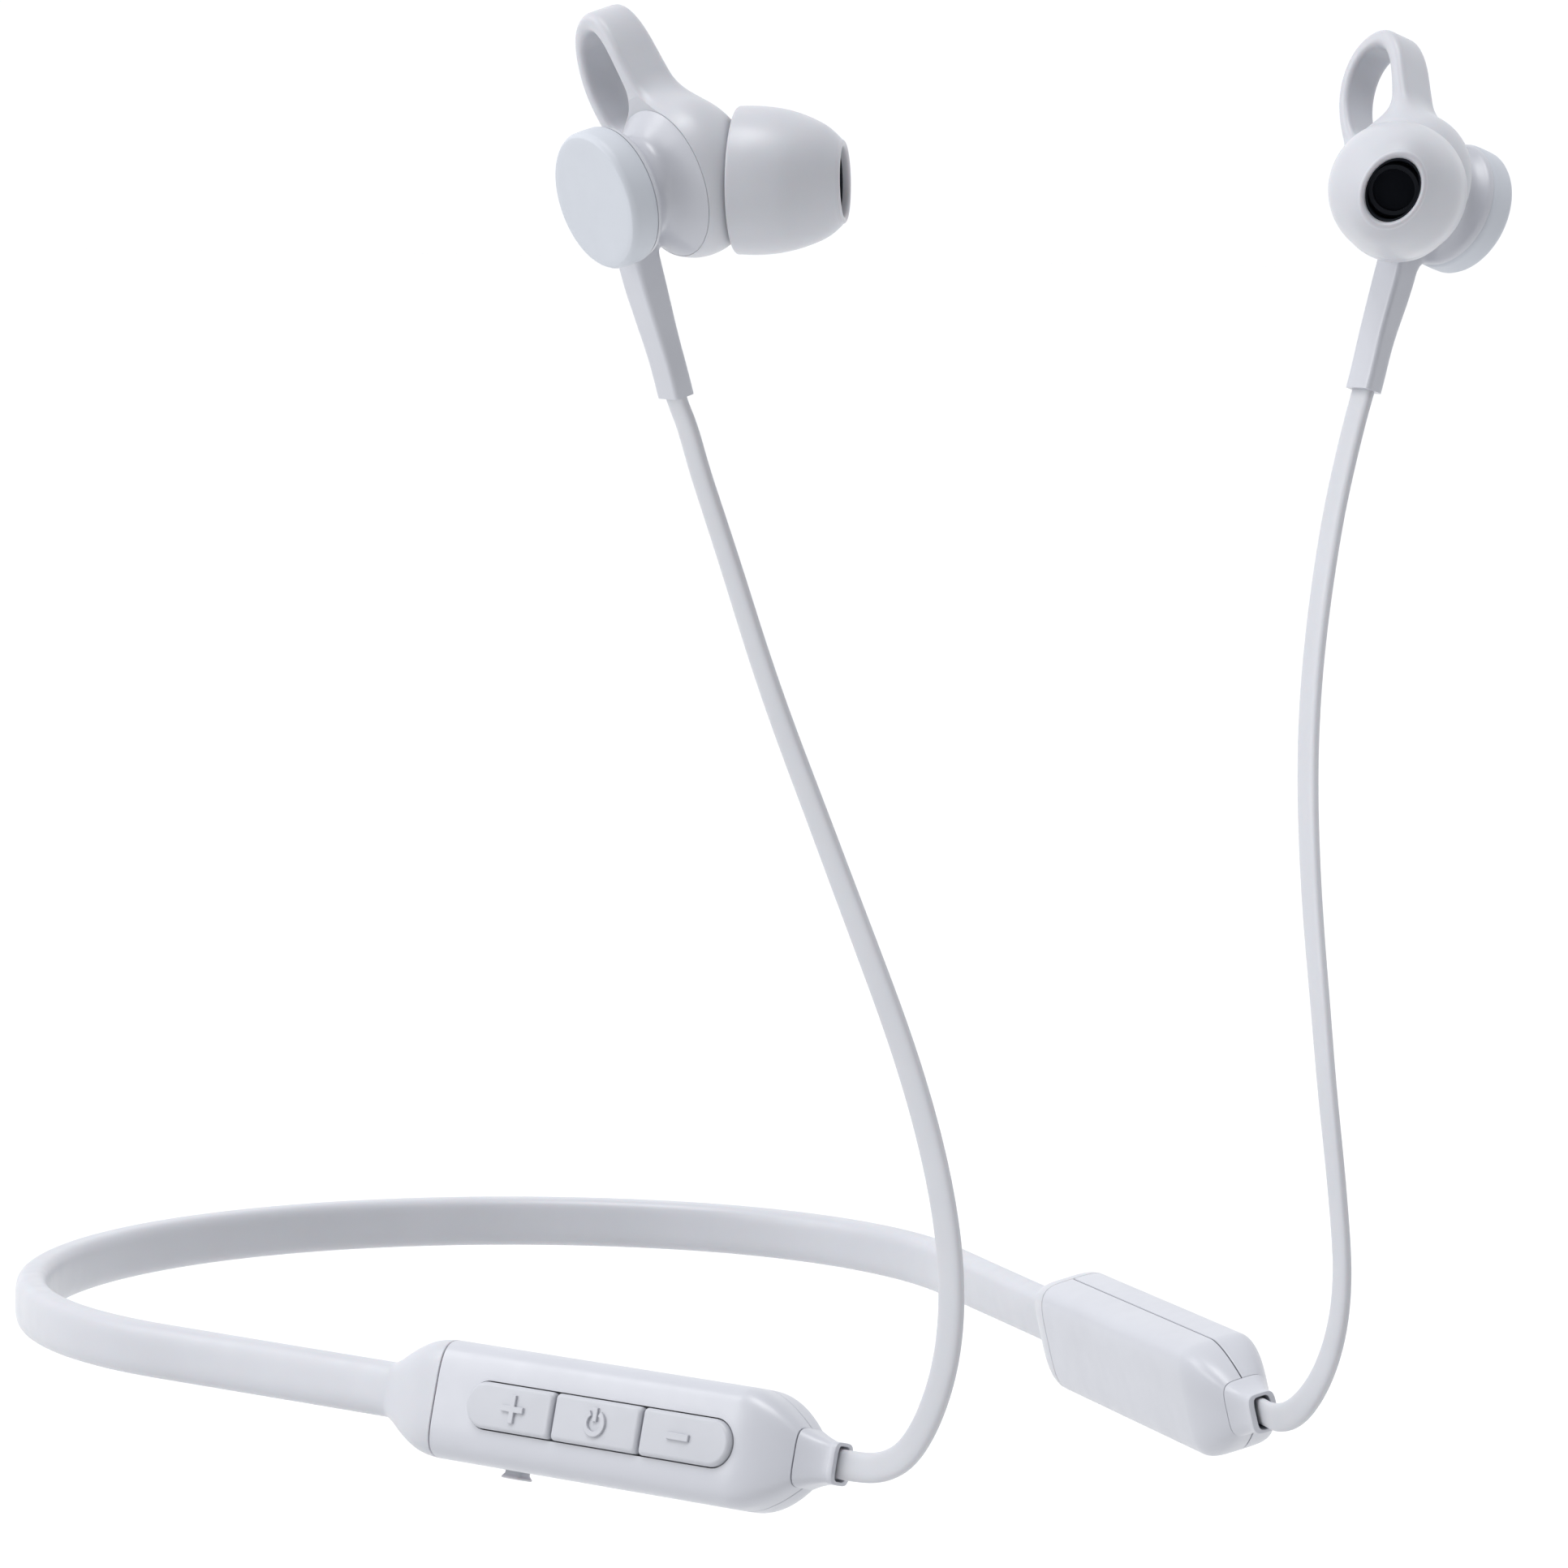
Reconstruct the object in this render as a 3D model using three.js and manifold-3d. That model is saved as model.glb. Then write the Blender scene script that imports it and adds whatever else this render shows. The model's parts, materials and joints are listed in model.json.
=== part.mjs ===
// Neckband earphones: a flexible band that rests on the back of the neck, a control pod on the
// wearer's right, a battery pod on the left, and two earbuds on flat cables, standing as worn.
//
// Millimetres, +Z up. The origin is on the inner face of the band at the middle of the nape.
// -Y points to the wearer's front, where the pods are, and +X to the wearer's left.
// Every piece is drawn for the wearer's left side and mirrored in X for the right side.

import * as THREE from 'three';
import { mergeVertices } from 'three/addons/utils/BufferGeometryUtils.js';
import Module from 'manifold-3d';

const wasm = await Module();
wasm.setup();

// ---------------------------------------------------------------- driving dimensions

const GAP = 0.3;
const DEG = Math.PI / 180;

const BAND_HEIGHT = 5.4;
const BAND_THICKNESS = 3.4;
const BAND_BACK_RADIUS = 53;
const BAND_BACK_ANGLE = 51.5 * DEG;
const BAND_SIDE_RADIUS = 44;
const BAND_SIDE_ANGLE = 54.7 * DEG;
const BAND_STRAIGHT = 39.8;
const BAND_SQUARENESS = 3.4;
const BAND_STEPS = 16;
const FLEX_GAP = 0.8;
const WIRE_SIZE = 1.2;
const WIRE_BORE = 2.0;
const WIRE_INSET = 1.5;

const POD_LENGTH = 42.5;
const POD_HEIGHT = 11.4;
const POD_WIDTH = 8.6;
const POD_SQUARENESS = 4.6;
const POD_ROLL = 14 * DEG;
const POD_WALL = 1.0;
const POD_TAPER = 5.6;
const FLARE_LENGTH = 8.5;
const COLLAR_LENGTH = 3.7;
const COLLAR_START = { width: 4.6, height: 5.6 };
const COLLAR_END = { width: 2.9, height: 4.0 };
const COLLAR_SLOT = { width: 1.7, height: 3.3 };

const KEY_STRIP_LENGTH = 32.2;
const KEY_STRIP_HEIGHT = 4.5;
const KEY_STRIP_CENTRE = 20.6;
const KEY_RISE = 0.5;
const KEY_TRAVEL = 0.3;
const KEY_FLANGE = { inner: 2.5, outer: 3.0, overhang: 0.6 };

const PORT_CENTRE = { along: 10.4, across: -1.45 };
const PORT_COVER = { length: 10.0, width: 3.2, inner: 4.75 };
const PULL_TAB = { length: 2.8, width: 2.2, drop: 0.8 };

const CABLE_WIDTH = 2.8;
const CABLE_THICKNESS = 1.0;

const CAP_RADIUS = 6.3;
const CAP_DEPTH = 2.7;
const BULGE_RADIUS = 7.4;
const BULGE_HALF_DEPTH = 5.5;
const BULGE_CENTRE = new THREE.Vector3(9.7, 0.7, -0.8);
const SLEEVE_WALL = 0.8;
const SLEEVE_START = 7.2;
const WING_WIDTH = 4.5;
const HOUSING_WALL = 0.8;
const NOZZLE_DIRECTION = new THREE.Vector3(0.69, 0.695, -0.207).normalize();
const NOZZLE_RADIUS = 2.6;
const NOZZLE_BORE = 1.9;
const NOZZLE_LENGTH = 12.6;
const TIP_OFFSET = 4.55;
const TIP_LENGTH = 10.0;
const TIP_RADIUS = 6.6;
const TIP_WALL = 0.5;
const STEM = { along: 5.1, across: -2.5, top: -7.9, bottom: -19.8, width: 3.4, thickness: 1.8 };

// The centre of the cap's face on the left earbud, and the earbud's own axes: x runs from the
// cap to the head, y to the front and z up along the stem.
const BUD_CENTRE = new THREE.Vector3(51.5, -136.2, 115.7);
const BUD_INWARD = new THREE.Vector3(-0.953, -0.036, 0.3).normalize();
const BUD_UP_HINT = new THREE.Vector3(0.3, 0, 0.954);

// The left cable's route from the pod's collar to the earbud's stem, ends left out.
const CABLE_ROUTE = [
  [24.6, -142.7, 0.0],
  [24.1, -145.2, 0.35],
  [23.7, -148.0, 1.6],
  [23.55, -150.6, 4.0],
  [23.45, -152.8, 7.4],
  [23.3, -154.3, 11.4],
  [23.15, -154.8, 15.8],
  [23.05, -154.4, 20.6],
  [23.2, -153.3, 26.0],
  [23.7, -151.5, 32.2],
  [24.8, -148.9, 39.8],
  [26.2, -146.0, 47.2],
  [27.7, -143.3, 54.2],
  [29.3, -140.8, 61.0],
  [31.1, -138.6, 67.8],
  [33.0, -136.9, 74.6],
  [34.9, -135.7, 81.4],
  [36.8, -134.9, 87.6],
  [38.4, -134.4, 92.6],
  [39.6, -134.15, 96.2],
];

// ---------------------------------------------------------------- finishes

const FINISHES = {
  silicone: { color: 0xd2d4db, roughness: 0.55, metalness: 0 },
  plastic: { color: 0xd4d7df, roughness: 0.38, metalness: 0 },
  key: { color: 0xcdd0d9, roughness: 0.42, metalness: 0 },
  cable: { color: 0xd3d5db, roughness: 0.5, metalness: 0 },
  disc: { color: 0xd0d5e0, roughness: 0.45, metalness: 0 },
  spring: { color: 0xb9bcc2, roughness: 0.3, metalness: 1 },
  steel: { color: 0xb6bac0, roughness: 0.28, metalness: 1 },
  magnet: { color: 0x9a9ca0, roughness: 0.25, metalness: 1 },
  board: { color: 0x1f5b3a, roughness: 0.5, metalness: 0 },
  cell: { color: 0x9fb0bb, roughness: 0.35, metalness: 0.6 },
  black: { color: 0x14161b, roughness: 0.6, metalness: 0 },
};

const materials = {};
for (const [name, finish] of Object.entries(FINISHES)) {
  materials[name] = new THREE.MeshStandardMaterial({ name, ...finish });
}

// ---------------------------------------------------------------- solids and booleans

/** Keeps only the positions, joined at shared corners. */
function welded(geometry) {
  const plain = geometry.clone();
  for (const attribute of ['normal', 'uv']) {
    plain.deleteAttribute(attribute);
  }
  return mergeVertices(plain, 1e-5);
}

/** The manifold solid of a closed geometry. */
function solidOf(geometry) {
  const plain = welded(geometry);
  const vertProperties = new Float32Array(plain.attributes.position.array);
  const triVerts = new Uint32Array(plain.index.array);
  return new wasm.Manifold(new wasm.Mesh({ numProp: 3, vertProperties, triVerts }));
}

/** The geometry of a manifold solid. */
function geometryOf(solid) {
  const mesh = solid.getMesh();
  const geometry = new THREE.BufferGeometry();
  geometry.setAttribute('position', new THREE.BufferAttribute(Float32Array.from(mesh.vertProperties), 3));
  geometry.setIndex(new THREE.BufferAttribute(Uint32Array.from(mesh.triVerts), 1));
  return geometry;
}

/** The first geometry with the others cut away. */
function cut(base, ...tools) {
  return geometryOf(tools.reduce((solid, tool) => solid.subtract(solidOf(tool)), solidOf(base)));
}

/** All the geometries joined into one. */
function join(base, ...others) {
  return geometryOf(others.reduce((solid, other) => solid.add(solidOf(other)), solidOf(base)));
}

/** What two geometries share. */
function common(first, second) {
  return geometryOf(solidOf(first).intersect(solidOf(second)));
}

/** Moves every corner of a geometry by a function of its place. */
function reshape(geometry, mover) {
  const position = geometry.attributes.position;
  const point = new THREE.Vector3();
  for (let i = 0; i < position.count; i += 1) {
    point.fromBufferAttribute(position, i);
    mover(point);
    position.setXYZ(i, point.x, point.y, point.z);
  }
  return geometry;
}

/** A box between two corners. */
function block(low, high) {
  const size = high.map((value, i) => value - low[i]);
  const middle = high.map((value, i) => (value + low[i]) / 2);
  return new THREE.BoxGeometry(...size).translate(...middle);
}

/** A rounded outline with half extents of 1: 2 is an ellipse, and more is squarer. */
function squircle(squareness, points) {
  const outline = [];
  for (let i = 0; i < points; i += 1) {
    const angle = ((i + 0.5) / points) * 2 * Math.PI;
    const x = Math.sign(Math.cos(angle)) * Math.abs(Math.cos(angle)) ** (2 / squareness);
    const y = Math.sign(Math.sin(angle)) * Math.abs(Math.sin(angle)) ** (2 / squareness);
    outline.push(new THREE.Vector2(x, y));
  }
  return new THREE.Shape(outline);
}

/** A bar along x through stations of {x, width, height}, width across y and height along z. */
function loft(stations, squareness, points) {
  const steps = stations.length - 1;
  const geometry = new THREE.ExtrudeGeometry(squircle(squareness, points), {
    depth: steps,
    steps,
    bevelEnabled: false,
  });
  return reshape(geometry, (point) => {
    const station = stations[Math.round(point.z)];
    point.set(station.x, (point.x * station.width) / 2, (point.y * station.height) / 2);
  });
}

/** A flat-sided bar with round ends, length along x and height along z, between two y values. */
function stadium(length, height, from, to) {
  const radius = height / 2;
  const reach = length / 2 - radius;
  const outline = new THREE.Shape();
  outline.absarc(reach, 0, radius, -Math.PI / 2, Math.PI / 2, false);
  outline.absarc(-reach, 0, radius, Math.PI / 2, (3 * Math.PI) / 2, false);
  const options = { depth: to - from, bevelEnabled: false, curveSegments: 8 };
  const geometry = new THREE.ExtrudeGeometry(outline, options);
  return geometry.rotateX(Math.PI / 2).translate(0, to, 0);
}

/** A turned piece about x from a closed profile of [radius, x] pairs. */
function turned(profile, segments) {
  const points = profile.map(([radius, x]) => new THREE.Vector2(radius, x));
  points.push(points[0].clone());
  return new THREE.LatheGeometry(points, segments).rotateZ(-Math.PI / 2);
}

/** A turned piece whose profile starts and ends on the axis. */
function turnedSolid(profile, segments) {
  const points = profile.map(([radius, x]) => new THREE.Vector2(radius, x));
  return new THREE.LatheGeometry(points, segments).rotateZ(-Math.PI / 2);
}

// ---------------------------------------------------------------- the frames of both sides

const group = new THREE.Group();
const sides = { left: new THREE.Group(), right: new THREE.Group() };
sides.right.scale.x = -1;
group.add(sides.left, sides.right);

/** Adds a piece to the group whose frame it is drawn in. */
function addPiece(frame, name, finish, geometry) {
  const mesh = new THREE.Mesh(welded(geometry), materials[finish]);
  mesh.name = name;
  frame.add(mesh);
}

/** The matrix of a frame on the left side from its origin, its x axis and its z axis. */
function frameMatrix(origin, along, up) {
  const across = new THREE.Vector3().crossVectors(up, along);
  return new THREE.Matrix4().makeBasis(along, across, up).setPosition(origin);
}

/** A group on one side, placed by a matrix of the left side. */
function placedGroup(side, matrix) {
  const placed = new THREE.Group();
  matrix.decompose(placed.position, placed.quaternion, placed.scale);
  sides[side].add(placed);
  return placed;
}

// ---------------------------------------------------------------- the band's course

const BACK_ARC = BAND_BACK_RADIUS * BAND_BACK_ANGLE;
const SIDE_ARC = BAND_SIDE_RADIUS * BAND_SIDE_ANGLE;
const BAND_LENGTH = BACK_ARC + SIDE_ARC + BAND_STRAIGHT;
const POD_HEADING = BAND_BACK_ANGLE + BAND_SIDE_ANGLE;

/** The band's centreline on the left at a length s from the nape: place, heading and roll. */
function bandAt(s) {
  const first = Math.min(s, BACK_ARC) / BAND_BACK_RADIUS;
  const second = Math.min(Math.max(s - BACK_ARC, 0), SIDE_ARC) / BAND_SIDE_RADIUS;
  const straight = Math.max(s - BACK_ARC - SIDE_ARC, 0);
  const heading = first + second;
  const x = BAND_BACK_RADIUS * Math.sin(first)
    + BAND_SIDE_RADIUS * (Math.sin(heading) - Math.sin(first))
    + straight * Math.cos(heading);
  const y = BAND_THICKNESS / 2
    - BAND_BACK_RADIUS * (1 - Math.cos(first))
    - BAND_SIDE_RADIUS * (Math.cos(first) - Math.cos(heading))
    - straight * Math.sin(heading);
  const turn = THREE.MathUtils.smoothstep(s, BACK_ARC + SIDE_ARC / 2, BAND_LENGTH - FLARE_LENGTH);
  return { x, y, heading, roll: POD_ROLL * turn };
}

/** Bends a straight bar along x onto the band's centreline, y becoming the outer side. */
function alongBand(geometry) {
  return reshape(geometry, (point) => {
    const s = Math.abs(point.x);
    const side = Math.sign(point.x) || 1;
    const { x, y, heading, roll } = bandAt(s);
    const out = point.y * Math.cos(roll) - point.z * Math.sin(roll);
    const rise = point.y * Math.sin(roll) + point.z * Math.cos(roll);
    point.set(side * (x + out * Math.sin(heading)), y + out * Math.cos(heading), rise);
  });
}

/** Stations spread evenly from one x to another. */
function evenStations(from, to, steps, width, height) {
  const stations = [];
  for (let i = 0; i <= steps; i += 1) {
    stations.push({ x: from + ((to - from) * i) / steps, width, height });
  }
  return stations;
}

/** The arm's stations: plain band, then the flare that swells to the pod. */
function armStations() {
  const start = BACK_ARC + FLEX_GAP / 2;
  const flareStart = BAND_LENGTH - FLARE_LENGTH;
  const stations = evenStations(start, flareStart, 14, BAND_THICKNESS, BAND_HEIGHT);
  const flareSteps = 5;
  for (let i = 1; i <= flareSteps; i += 1) {
    const part = i / flareSteps;
    const swell = part * part * (3 - 2 * part);
    stations.push({
      x: flareStart + (FLARE_LENGTH - GAP / 2) * part,
      width: BAND_THICKNESS + (POD_WIDTH - BAND_THICKNESS) * swell,
      height: BAND_HEIGHT + (POD_HEIGHT - BAND_HEIGHT) * swell,
    });
  }
  return stations;
}

/** A length of the steel wire inside the band, or the bore that it lies in. */
function wireBar(from, to, steps, size) {
  return alongBand(loft(evenStations(from, to, steps, size, size), 2, 6));
}

function makeBand() {
  const reach = BACK_ARC - FLEX_GAP / 2;
  const stations = evenStations(-reach, reach, BAND_STEPS, BAND_THICKNESS, BAND_HEIGHT);
  const centre = alongBand(loft(stations, BAND_SQUARENESS, 12));
  const bore = wireBar(-reach - GAP, reach + GAP, BAND_STEPS, WIRE_BORE);
  addPiece(group, 'neckband_centre', 'silicone', cut(centre, bore));
  const wireReach = reach - GAP;
  addPiece(group, 'memory_wire_centre', 'spring', wireBar(-wireReach, wireReach, BAND_STEPS, WIRE_SIZE));
}

function makeArm(side) {
  const start = BACK_ARC + FLEX_GAP / 2;
  const sleeve = alongBand(loft(armStations(), BAND_SQUARENESS, 12));
  const bore = wireBar(start - GAP, BAND_LENGTH + GAP, BAND_STEPS, WIRE_BORE);
  const wire = wireBar(start + GAP, BAND_LENGTH - WIRE_INSET, BAND_STEPS, WIRE_SIZE);
  addPiece(sides[side], `${side}_arm_sleeve`, 'silicone', cut(sleeve, bore));
  addPiece(sides[side], `${side}_memory_wire`, 'spring', wire);
}

// ---------------------------------------------------------------- the pods

/** The frame of a pod: origin at the seam with the band, x along the pod, y outwards. */
function podMatrix() {
  const end = bandAt(BAND_LENGTH);
  const along = new THREE.Vector3(Math.cos(POD_HEADING), -Math.sin(POD_HEADING), 0);
  const outward = new THREE.Vector3(Math.sin(POD_HEADING), Math.cos(POD_HEADING), 0);
  const up = new THREE.Vector3(0, 0, Math.cos(POD_ROLL)).addScaledVector(outward, -Math.sin(POD_ROLL));
  return frameMatrix(new THREE.Vector3(end.x, end.y, 0), along, up);
}

/** The pod's outer form, or its hollow when inset by a wall. */
function podForm(inset, from, to) {
  const taperStart = POD_LENGTH - POD_TAPER;
  const stations = [{ x: from, width: POD_WIDTH - 2 * inset, height: POD_HEIGHT - 2 * inset }];
  const steps = 5;
  for (let i = 0; i <= steps; i += 1) {
    const part = i / steps;
    const narrowing = part ** 1.7;
    stations.push({
      x: taperStart + (to - taperStart) * part,
      width: POD_WIDTH + (COLLAR_START.width - POD_WIDTH) * narrowing - 2 * inset,
      height: POD_HEIGHT + (COLLAR_START.height - POD_HEIGHT) * narrowing - 2 * inset,
    });
  }
  return loft(stations, POD_SQUARENESS, 24);
}

/** The two halves of a pod's case, parted along its middle plane. */
function podShells() {
  const hollow = podForm(POD_WALL, POD_WALL + 0.2, POD_LENGTH - POD_WALL);
  const passage = block([-1, -1.2, -1.2], [POD_LENGTH + 1, 1.2, 1.2]);
  const walls = cut(podForm(0, GAP / 2, POD_LENGTH), hollow, passage);
  const reach = POD_LENGTH + 5;
  const outerSide = block([-5, GAP / 2, -10], [reach, 10, 10]);
  const innerSide = block([-5, -10, -10], [reach, -GAP / 2, 10]);
  return { outer: common(walls, outerSide), inner: common(walls, innerSide) };
}

/** The tapered collar that the cable leaves through. */
function collar() {
  const start = POD_LENGTH + GAP;
  const stations = [
    { x: start, ...COLLAR_START },
    { x: start + COLLAR_LENGTH * 0.5, width: 3.5, height: 4.5 },
    { x: start + COLLAR_LENGTH - 0.8, width: COLLAR_END.width - 0.1, height: COLLAR_END.height - 0.2 },
    { x: start + COLLAR_LENGTH, ...COLLAR_END },
  ];
  const slot = block(
    [start - 1, -COLLAR_SLOT.width / 2, -COLLAR_SLOT.height / 2],
    [start + COLLAR_LENGTH + 1, COLLAR_SLOT.width / 2, COLLAR_SLOT.height / 2],
  );
  return cut(loft(stations, POD_SQUARENESS, 16), slot);
}

/** The stretch of the key strip that a key takes, the first next to the band. */
function keySpan(number) {
  const pitch = KEY_STRIP_LENGTH / 3;
  const start = KEY_STRIP_CENTRE - KEY_STRIP_LENGTH / 2 + pitch * number;
  return { from: start + (number > 0 ? GAP / 2 : -1), to: start + pitch + (number < 2 ? -GAP / 2 : 1) };
}

/** A key: a third of the round-ended strip on a flange that holds it inside the case. */
function key(number) {
  const top = POD_WIDTH / 2 + KEY_RISE;
  const overhang = 2 * KEY_FLANGE.overhang;
  const strip = stadium(KEY_STRIP_LENGTH, KEY_STRIP_HEIGHT, KEY_FLANGE.inner, top);
  const flange = stadium(
    KEY_STRIP_LENGTH + overhang,
    KEY_STRIP_HEIGHT + overhang,
    KEY_FLANGE.inner,
    KEY_FLANGE.outer,
  );
  const whole = join(strip, flange).translate(KEY_STRIP_CENTRE, 0, 0);
  const { from, to } = keySpan(number);
  return common(whole, block([from, 0, -8], [to, 10, 8]));
}

function portOpening(clearance) {
  const length = PORT_COVER.length + 2 * clearance;
  const width = PORT_COVER.width + 2 * clearance;
  const plug = stadium(length, width, -9, -PORT_COVER.inner);
  return plug.rotateX(Math.PI / 2).translate(PORT_CENTRE.along, PORT_CENTRE.across, 0);
}

/** The rubber cover over the charging port, hinged at its front end, with a pull tab. */
function portCover() {
  const form = podForm(0, GAP / 2, POD_LENGTH);
  const skin = common(form, portOpening(0));
  const tabStart = PORT_CENTRE.along - PORT_COVER.length / 2 + 0.4;
  const bottom = -POD_HEIGHT / 2;
  const tab = block(
    [tabStart, PORT_CENTRE.across - PULL_TAB.width / 2, bottom - PULL_TAB.drop],
    [tabStart + PULL_TAB.length, PORT_CENTRE.across + PULL_TAB.width / 2, bottom + 0.5],
  );
  return join(skin, tab);
}

function makeControlPod(side) {
  const frame = placedGroup(side, podMatrix());
  const shells = podShells();
  const keyOpening = stadium(KEY_STRIP_LENGTH + 2 * GAP, KEY_STRIP_HEIGHT + 2 * GAP, 2, 8);
  keyOpening.translate(KEY_STRIP_CENTRE, 0, 0);
  const socketOpening = portOpening(GAP);
  addPiece(frame, 'control_pod_outer_shell', 'plastic', cut(shells.outer, keyOpening, socketOpening));
  addPiece(frame, 'control_pod_inner_shell', 'plastic', cut(shells.inner, socketOpening));
  addPiece(frame, 'control_pod_collar', 'plastic', collar());
  ['volume_up', 'power', 'volume_down'].forEach((name, number) => {
    addPiece(frame, `${name}_key`, 'key', key(number));
    addPiece(frame, `${name}_switch`, 'steel', tactSwitch(number));
  });
  addPiece(frame, 'port_cover', 'silicone', portCover());
  addPiece(frame, 'key_mat', 'silicone', keyMat());
  addPiece(frame, 'circuit_board', 'board', circuitBoard());
  addPiece(frame, 'charging_socket', 'steel', chargingSocket());
  addPiece(frame, 'microphone', 'steel', block([32, -1.2, -1.2], [35, -0.3, 1.2]));
}

/** The thin rubber sheet between the keys and their switches. */
function keyMat() {
  const top = KEY_FLANGE.inner - KEY_TRAVEL - GAP;
  return block([4, top - 0.3, -3.6], [37.2, top, 3.6]);
}

/** The control board with its radio chip and parts along its outer face. */
function circuitBoard() {
  const board = block([2.5, 0, -4.0], [37.5, 0.45, 4.0]);
  const chips = [
    block([12, 0.3, -2.4], [15.6, 0.95, 1.2]),
    block([22.5, 0.3, -1.8], [25.5, 0.95, 1.8]),
    block([32.5, 0.3, -3.2], [36.8, 0.95, -1.6]),
  ];
  return join(board, ...chips);
}

/** The small switch under the middle of a key. */
function tactSwitch(number) {
  const x = KEY_STRIP_CENTRE + ((number - 1) * KEY_STRIP_LENGTH) / 3;
  return block([x - 1.3, 0.7, -1], [x + 1.3, 1.3, 1]);
}

/** The metal shell of the charging socket, open towards the port cover. */
function chargingSocket() {
  const { along, across } = PORT_CENTRE;
  const body = block([along - 3.75, across - 1.25, -3.8], [along + 3.75, across + 1.1, 1.0]);
  const mouth = block([along - 3.45, across - 1.0, -5], [along + 3.45, across + 0.85, 0.2]);
  const tongue = block([along - 2.0, across - 0.3, -3.4], [along + 2.0, across + 0.2, 0.4]);
  return join(cut(body, mouth), tongue);
}

function makeBatteryPod(side) {
  const frame = placedGroup(side, podMatrix());
  const shells = podShells();
  addPiece(frame, 'battery_pod_outer_shell', 'plastic', shells.outer);
  addPiece(frame, 'battery_pod_inner_shell', 'plastic', shells.inner);
  addPiece(frame, 'battery_pod_collar', 'plastic', collar());
  const cell = loft([{ x: 3, width: 5.6, height: 8.2 }, { x: 35.4, width: 5.6, height: 8.2 }], 5, 16);
  addPiece(frame, 'battery_cell', 'cell', cell);
  addPiece(frame, 'protection_board', 'board', block([35.8, -2.1, -3.2], [36.6, 2.1, 3.2]));
}

// ---------------------------------------------------------------- the earbuds

/** The frame of an earbud: origin at the cap's face, x to the head, z up the stem. */
function budMatrix() {
  const up = BUD_UP_HINT.clone().addScaledVector(BUD_INWARD, -BUD_UP_HINT.dot(BUD_INWARD)).normalize();
  return frameMatrix(BUD_CENTRE, BUD_INWARD, up);
}

/** The cap's cup, whose flat outer face is the magnetic face of the earbud. */
function cap() {
  const lip = 0.45;
  const wall = 0.9;
  return turnedSolid([
    [0, 0],
    [CAP_RADIUS - lip, 0],
    [CAP_RADIUS, lip],
    [CAP_RADIUS, CAP_DEPTH],
    [CAP_RADIUS - wall, CAP_DEPTH],
    [CAP_RADIUS - wall, wall],
    [0, wall],
  ], 28);
}

/** Shifts a turned piece from the cap's axis at its rear to the bulge's axis at its front. */
function leanForward(geometry) {
  return reshape(geometry, (point) => {
    const part = THREE.MathUtils.smoothstep(point.x, CAP_DEPTH + 1, SLEEVE_START);
    point.y += BULGE_CENTRE.y * part;
    point.z += BULGE_CENTRE.z * part;
  });
}

/** The rear housing: a flange behind the cap, a waist, and a cup that meets the front housing. */
function rearHousing() {
  const rear = CAP_DEPTH + GAP;
  const edge = SLEEVE_START - GAP;
  const shell = leanForward(turnedSolid([
    [0, rear],
    [6.1, rear],
    [6.15, rear + 0.4],
    [5.3, rear + 1.1],
    [4.9, rear + 1.7],
    [5.1, rear + 2.4],
    [5.75, rear + 3.2],
    [6.35, edge],
    [5.3, edge],
    [4.1, rear + 2.6],
    [4.0, rear + 1.2],
    [0, rear + 1.2],
  ], 20));
  const boss = stemBar(STEM.top + GAP, -3.4, 0.3);
  const hollow = turnedSolid([[0, rear + 1.3], [3.9, rear + 1.3], [3.9, rear + 3.1], [0, rear + 3.1]], 20);
  return join(shell, cut(boss, hollow));
}

/** A bar up the stem's line between two heights. */
function stemBar(from, to, extra) {
  const stations = [
    { x: from, width: STEM.width + extra, height: STEM.thickness + extra },
    { x: to, width: STEM.width + extra, height: STEM.thickness + extra },
  ];
  const bar = loft(stations, 3, 12);
  return reshape(bar, (point) => {
    point.set(STEM.along + point.z, STEM.across - point.y, point.x);
  });
}

/** A ball flattened along x about the bulge's centre, smaller than the bulge by an inset. */
function bulgeForm(inset, segments, rings) {
  const ball = new THREE.SphereGeometry(1, segments, rings).rotateZ(-Math.PI / 2);
  const radius = BULGE_RADIUS - inset;
  return ball.scale(BULGE_HALF_DEPTH - inset, radius, radius).translate(...BULGE_CENTRE);
}

/** A cylinder along the nozzle's line, from one distance to another past the bulge's centre. */
function alongNozzle(geometry) {
  const turn = new THREE.Quaternion().setFromUnitVectors(new THREE.Vector3(1, 0, 0), NOZZLE_DIRECTION);
  return geometry.applyQuaternion(turn).translate(...BULGE_CENTRE);
}

function nozzleBar(radius, from, to, segments) {
  return alongNozzle(turnedSolid([[0, from], [radius, from], [radius, to], [0, to]], segments));
}

/** The front housing: a dome under the silicone sleeve, with the hollow nozzle for the tip. */
function frontHousing() {
  const outer = SLEEVE_WALL + GAP;
  const dome = bulgeForm(outer, 16, 10);
  const nozzle = nozzleBar(NOZZLE_RADIUS, 2, NOZZLE_LENGTH, 16);
  const front = block([SLEEVE_START, -20, -20], [40, 20, 20]);
  const form = common(join(dome, nozzle), front);
  const chamber = bulgeForm(outer + HOUSING_WALL, 12, 8);
  const bore = nozzleBar(NOZZLE_BORE, 2, NOZZLE_LENGTH + 1, 12);
  return cut(form, chamber, bore);
}

/** The speaker: a low drum with a smaller magnet cup behind it. */
function driver() {
  const { x, y, z } = BULGE_CENTRE;
  const drum = turnedSolid([
    [0, x - 2.6],
    [2.9, x - 2.6],
    [2.9, x - 1.2],
    [4.3, x - 1.2],
    [4.3, x + 0.9],
    [0, x + 0.9],
  ], 16);
  return drum.translate(0, y, z);
}

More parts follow.
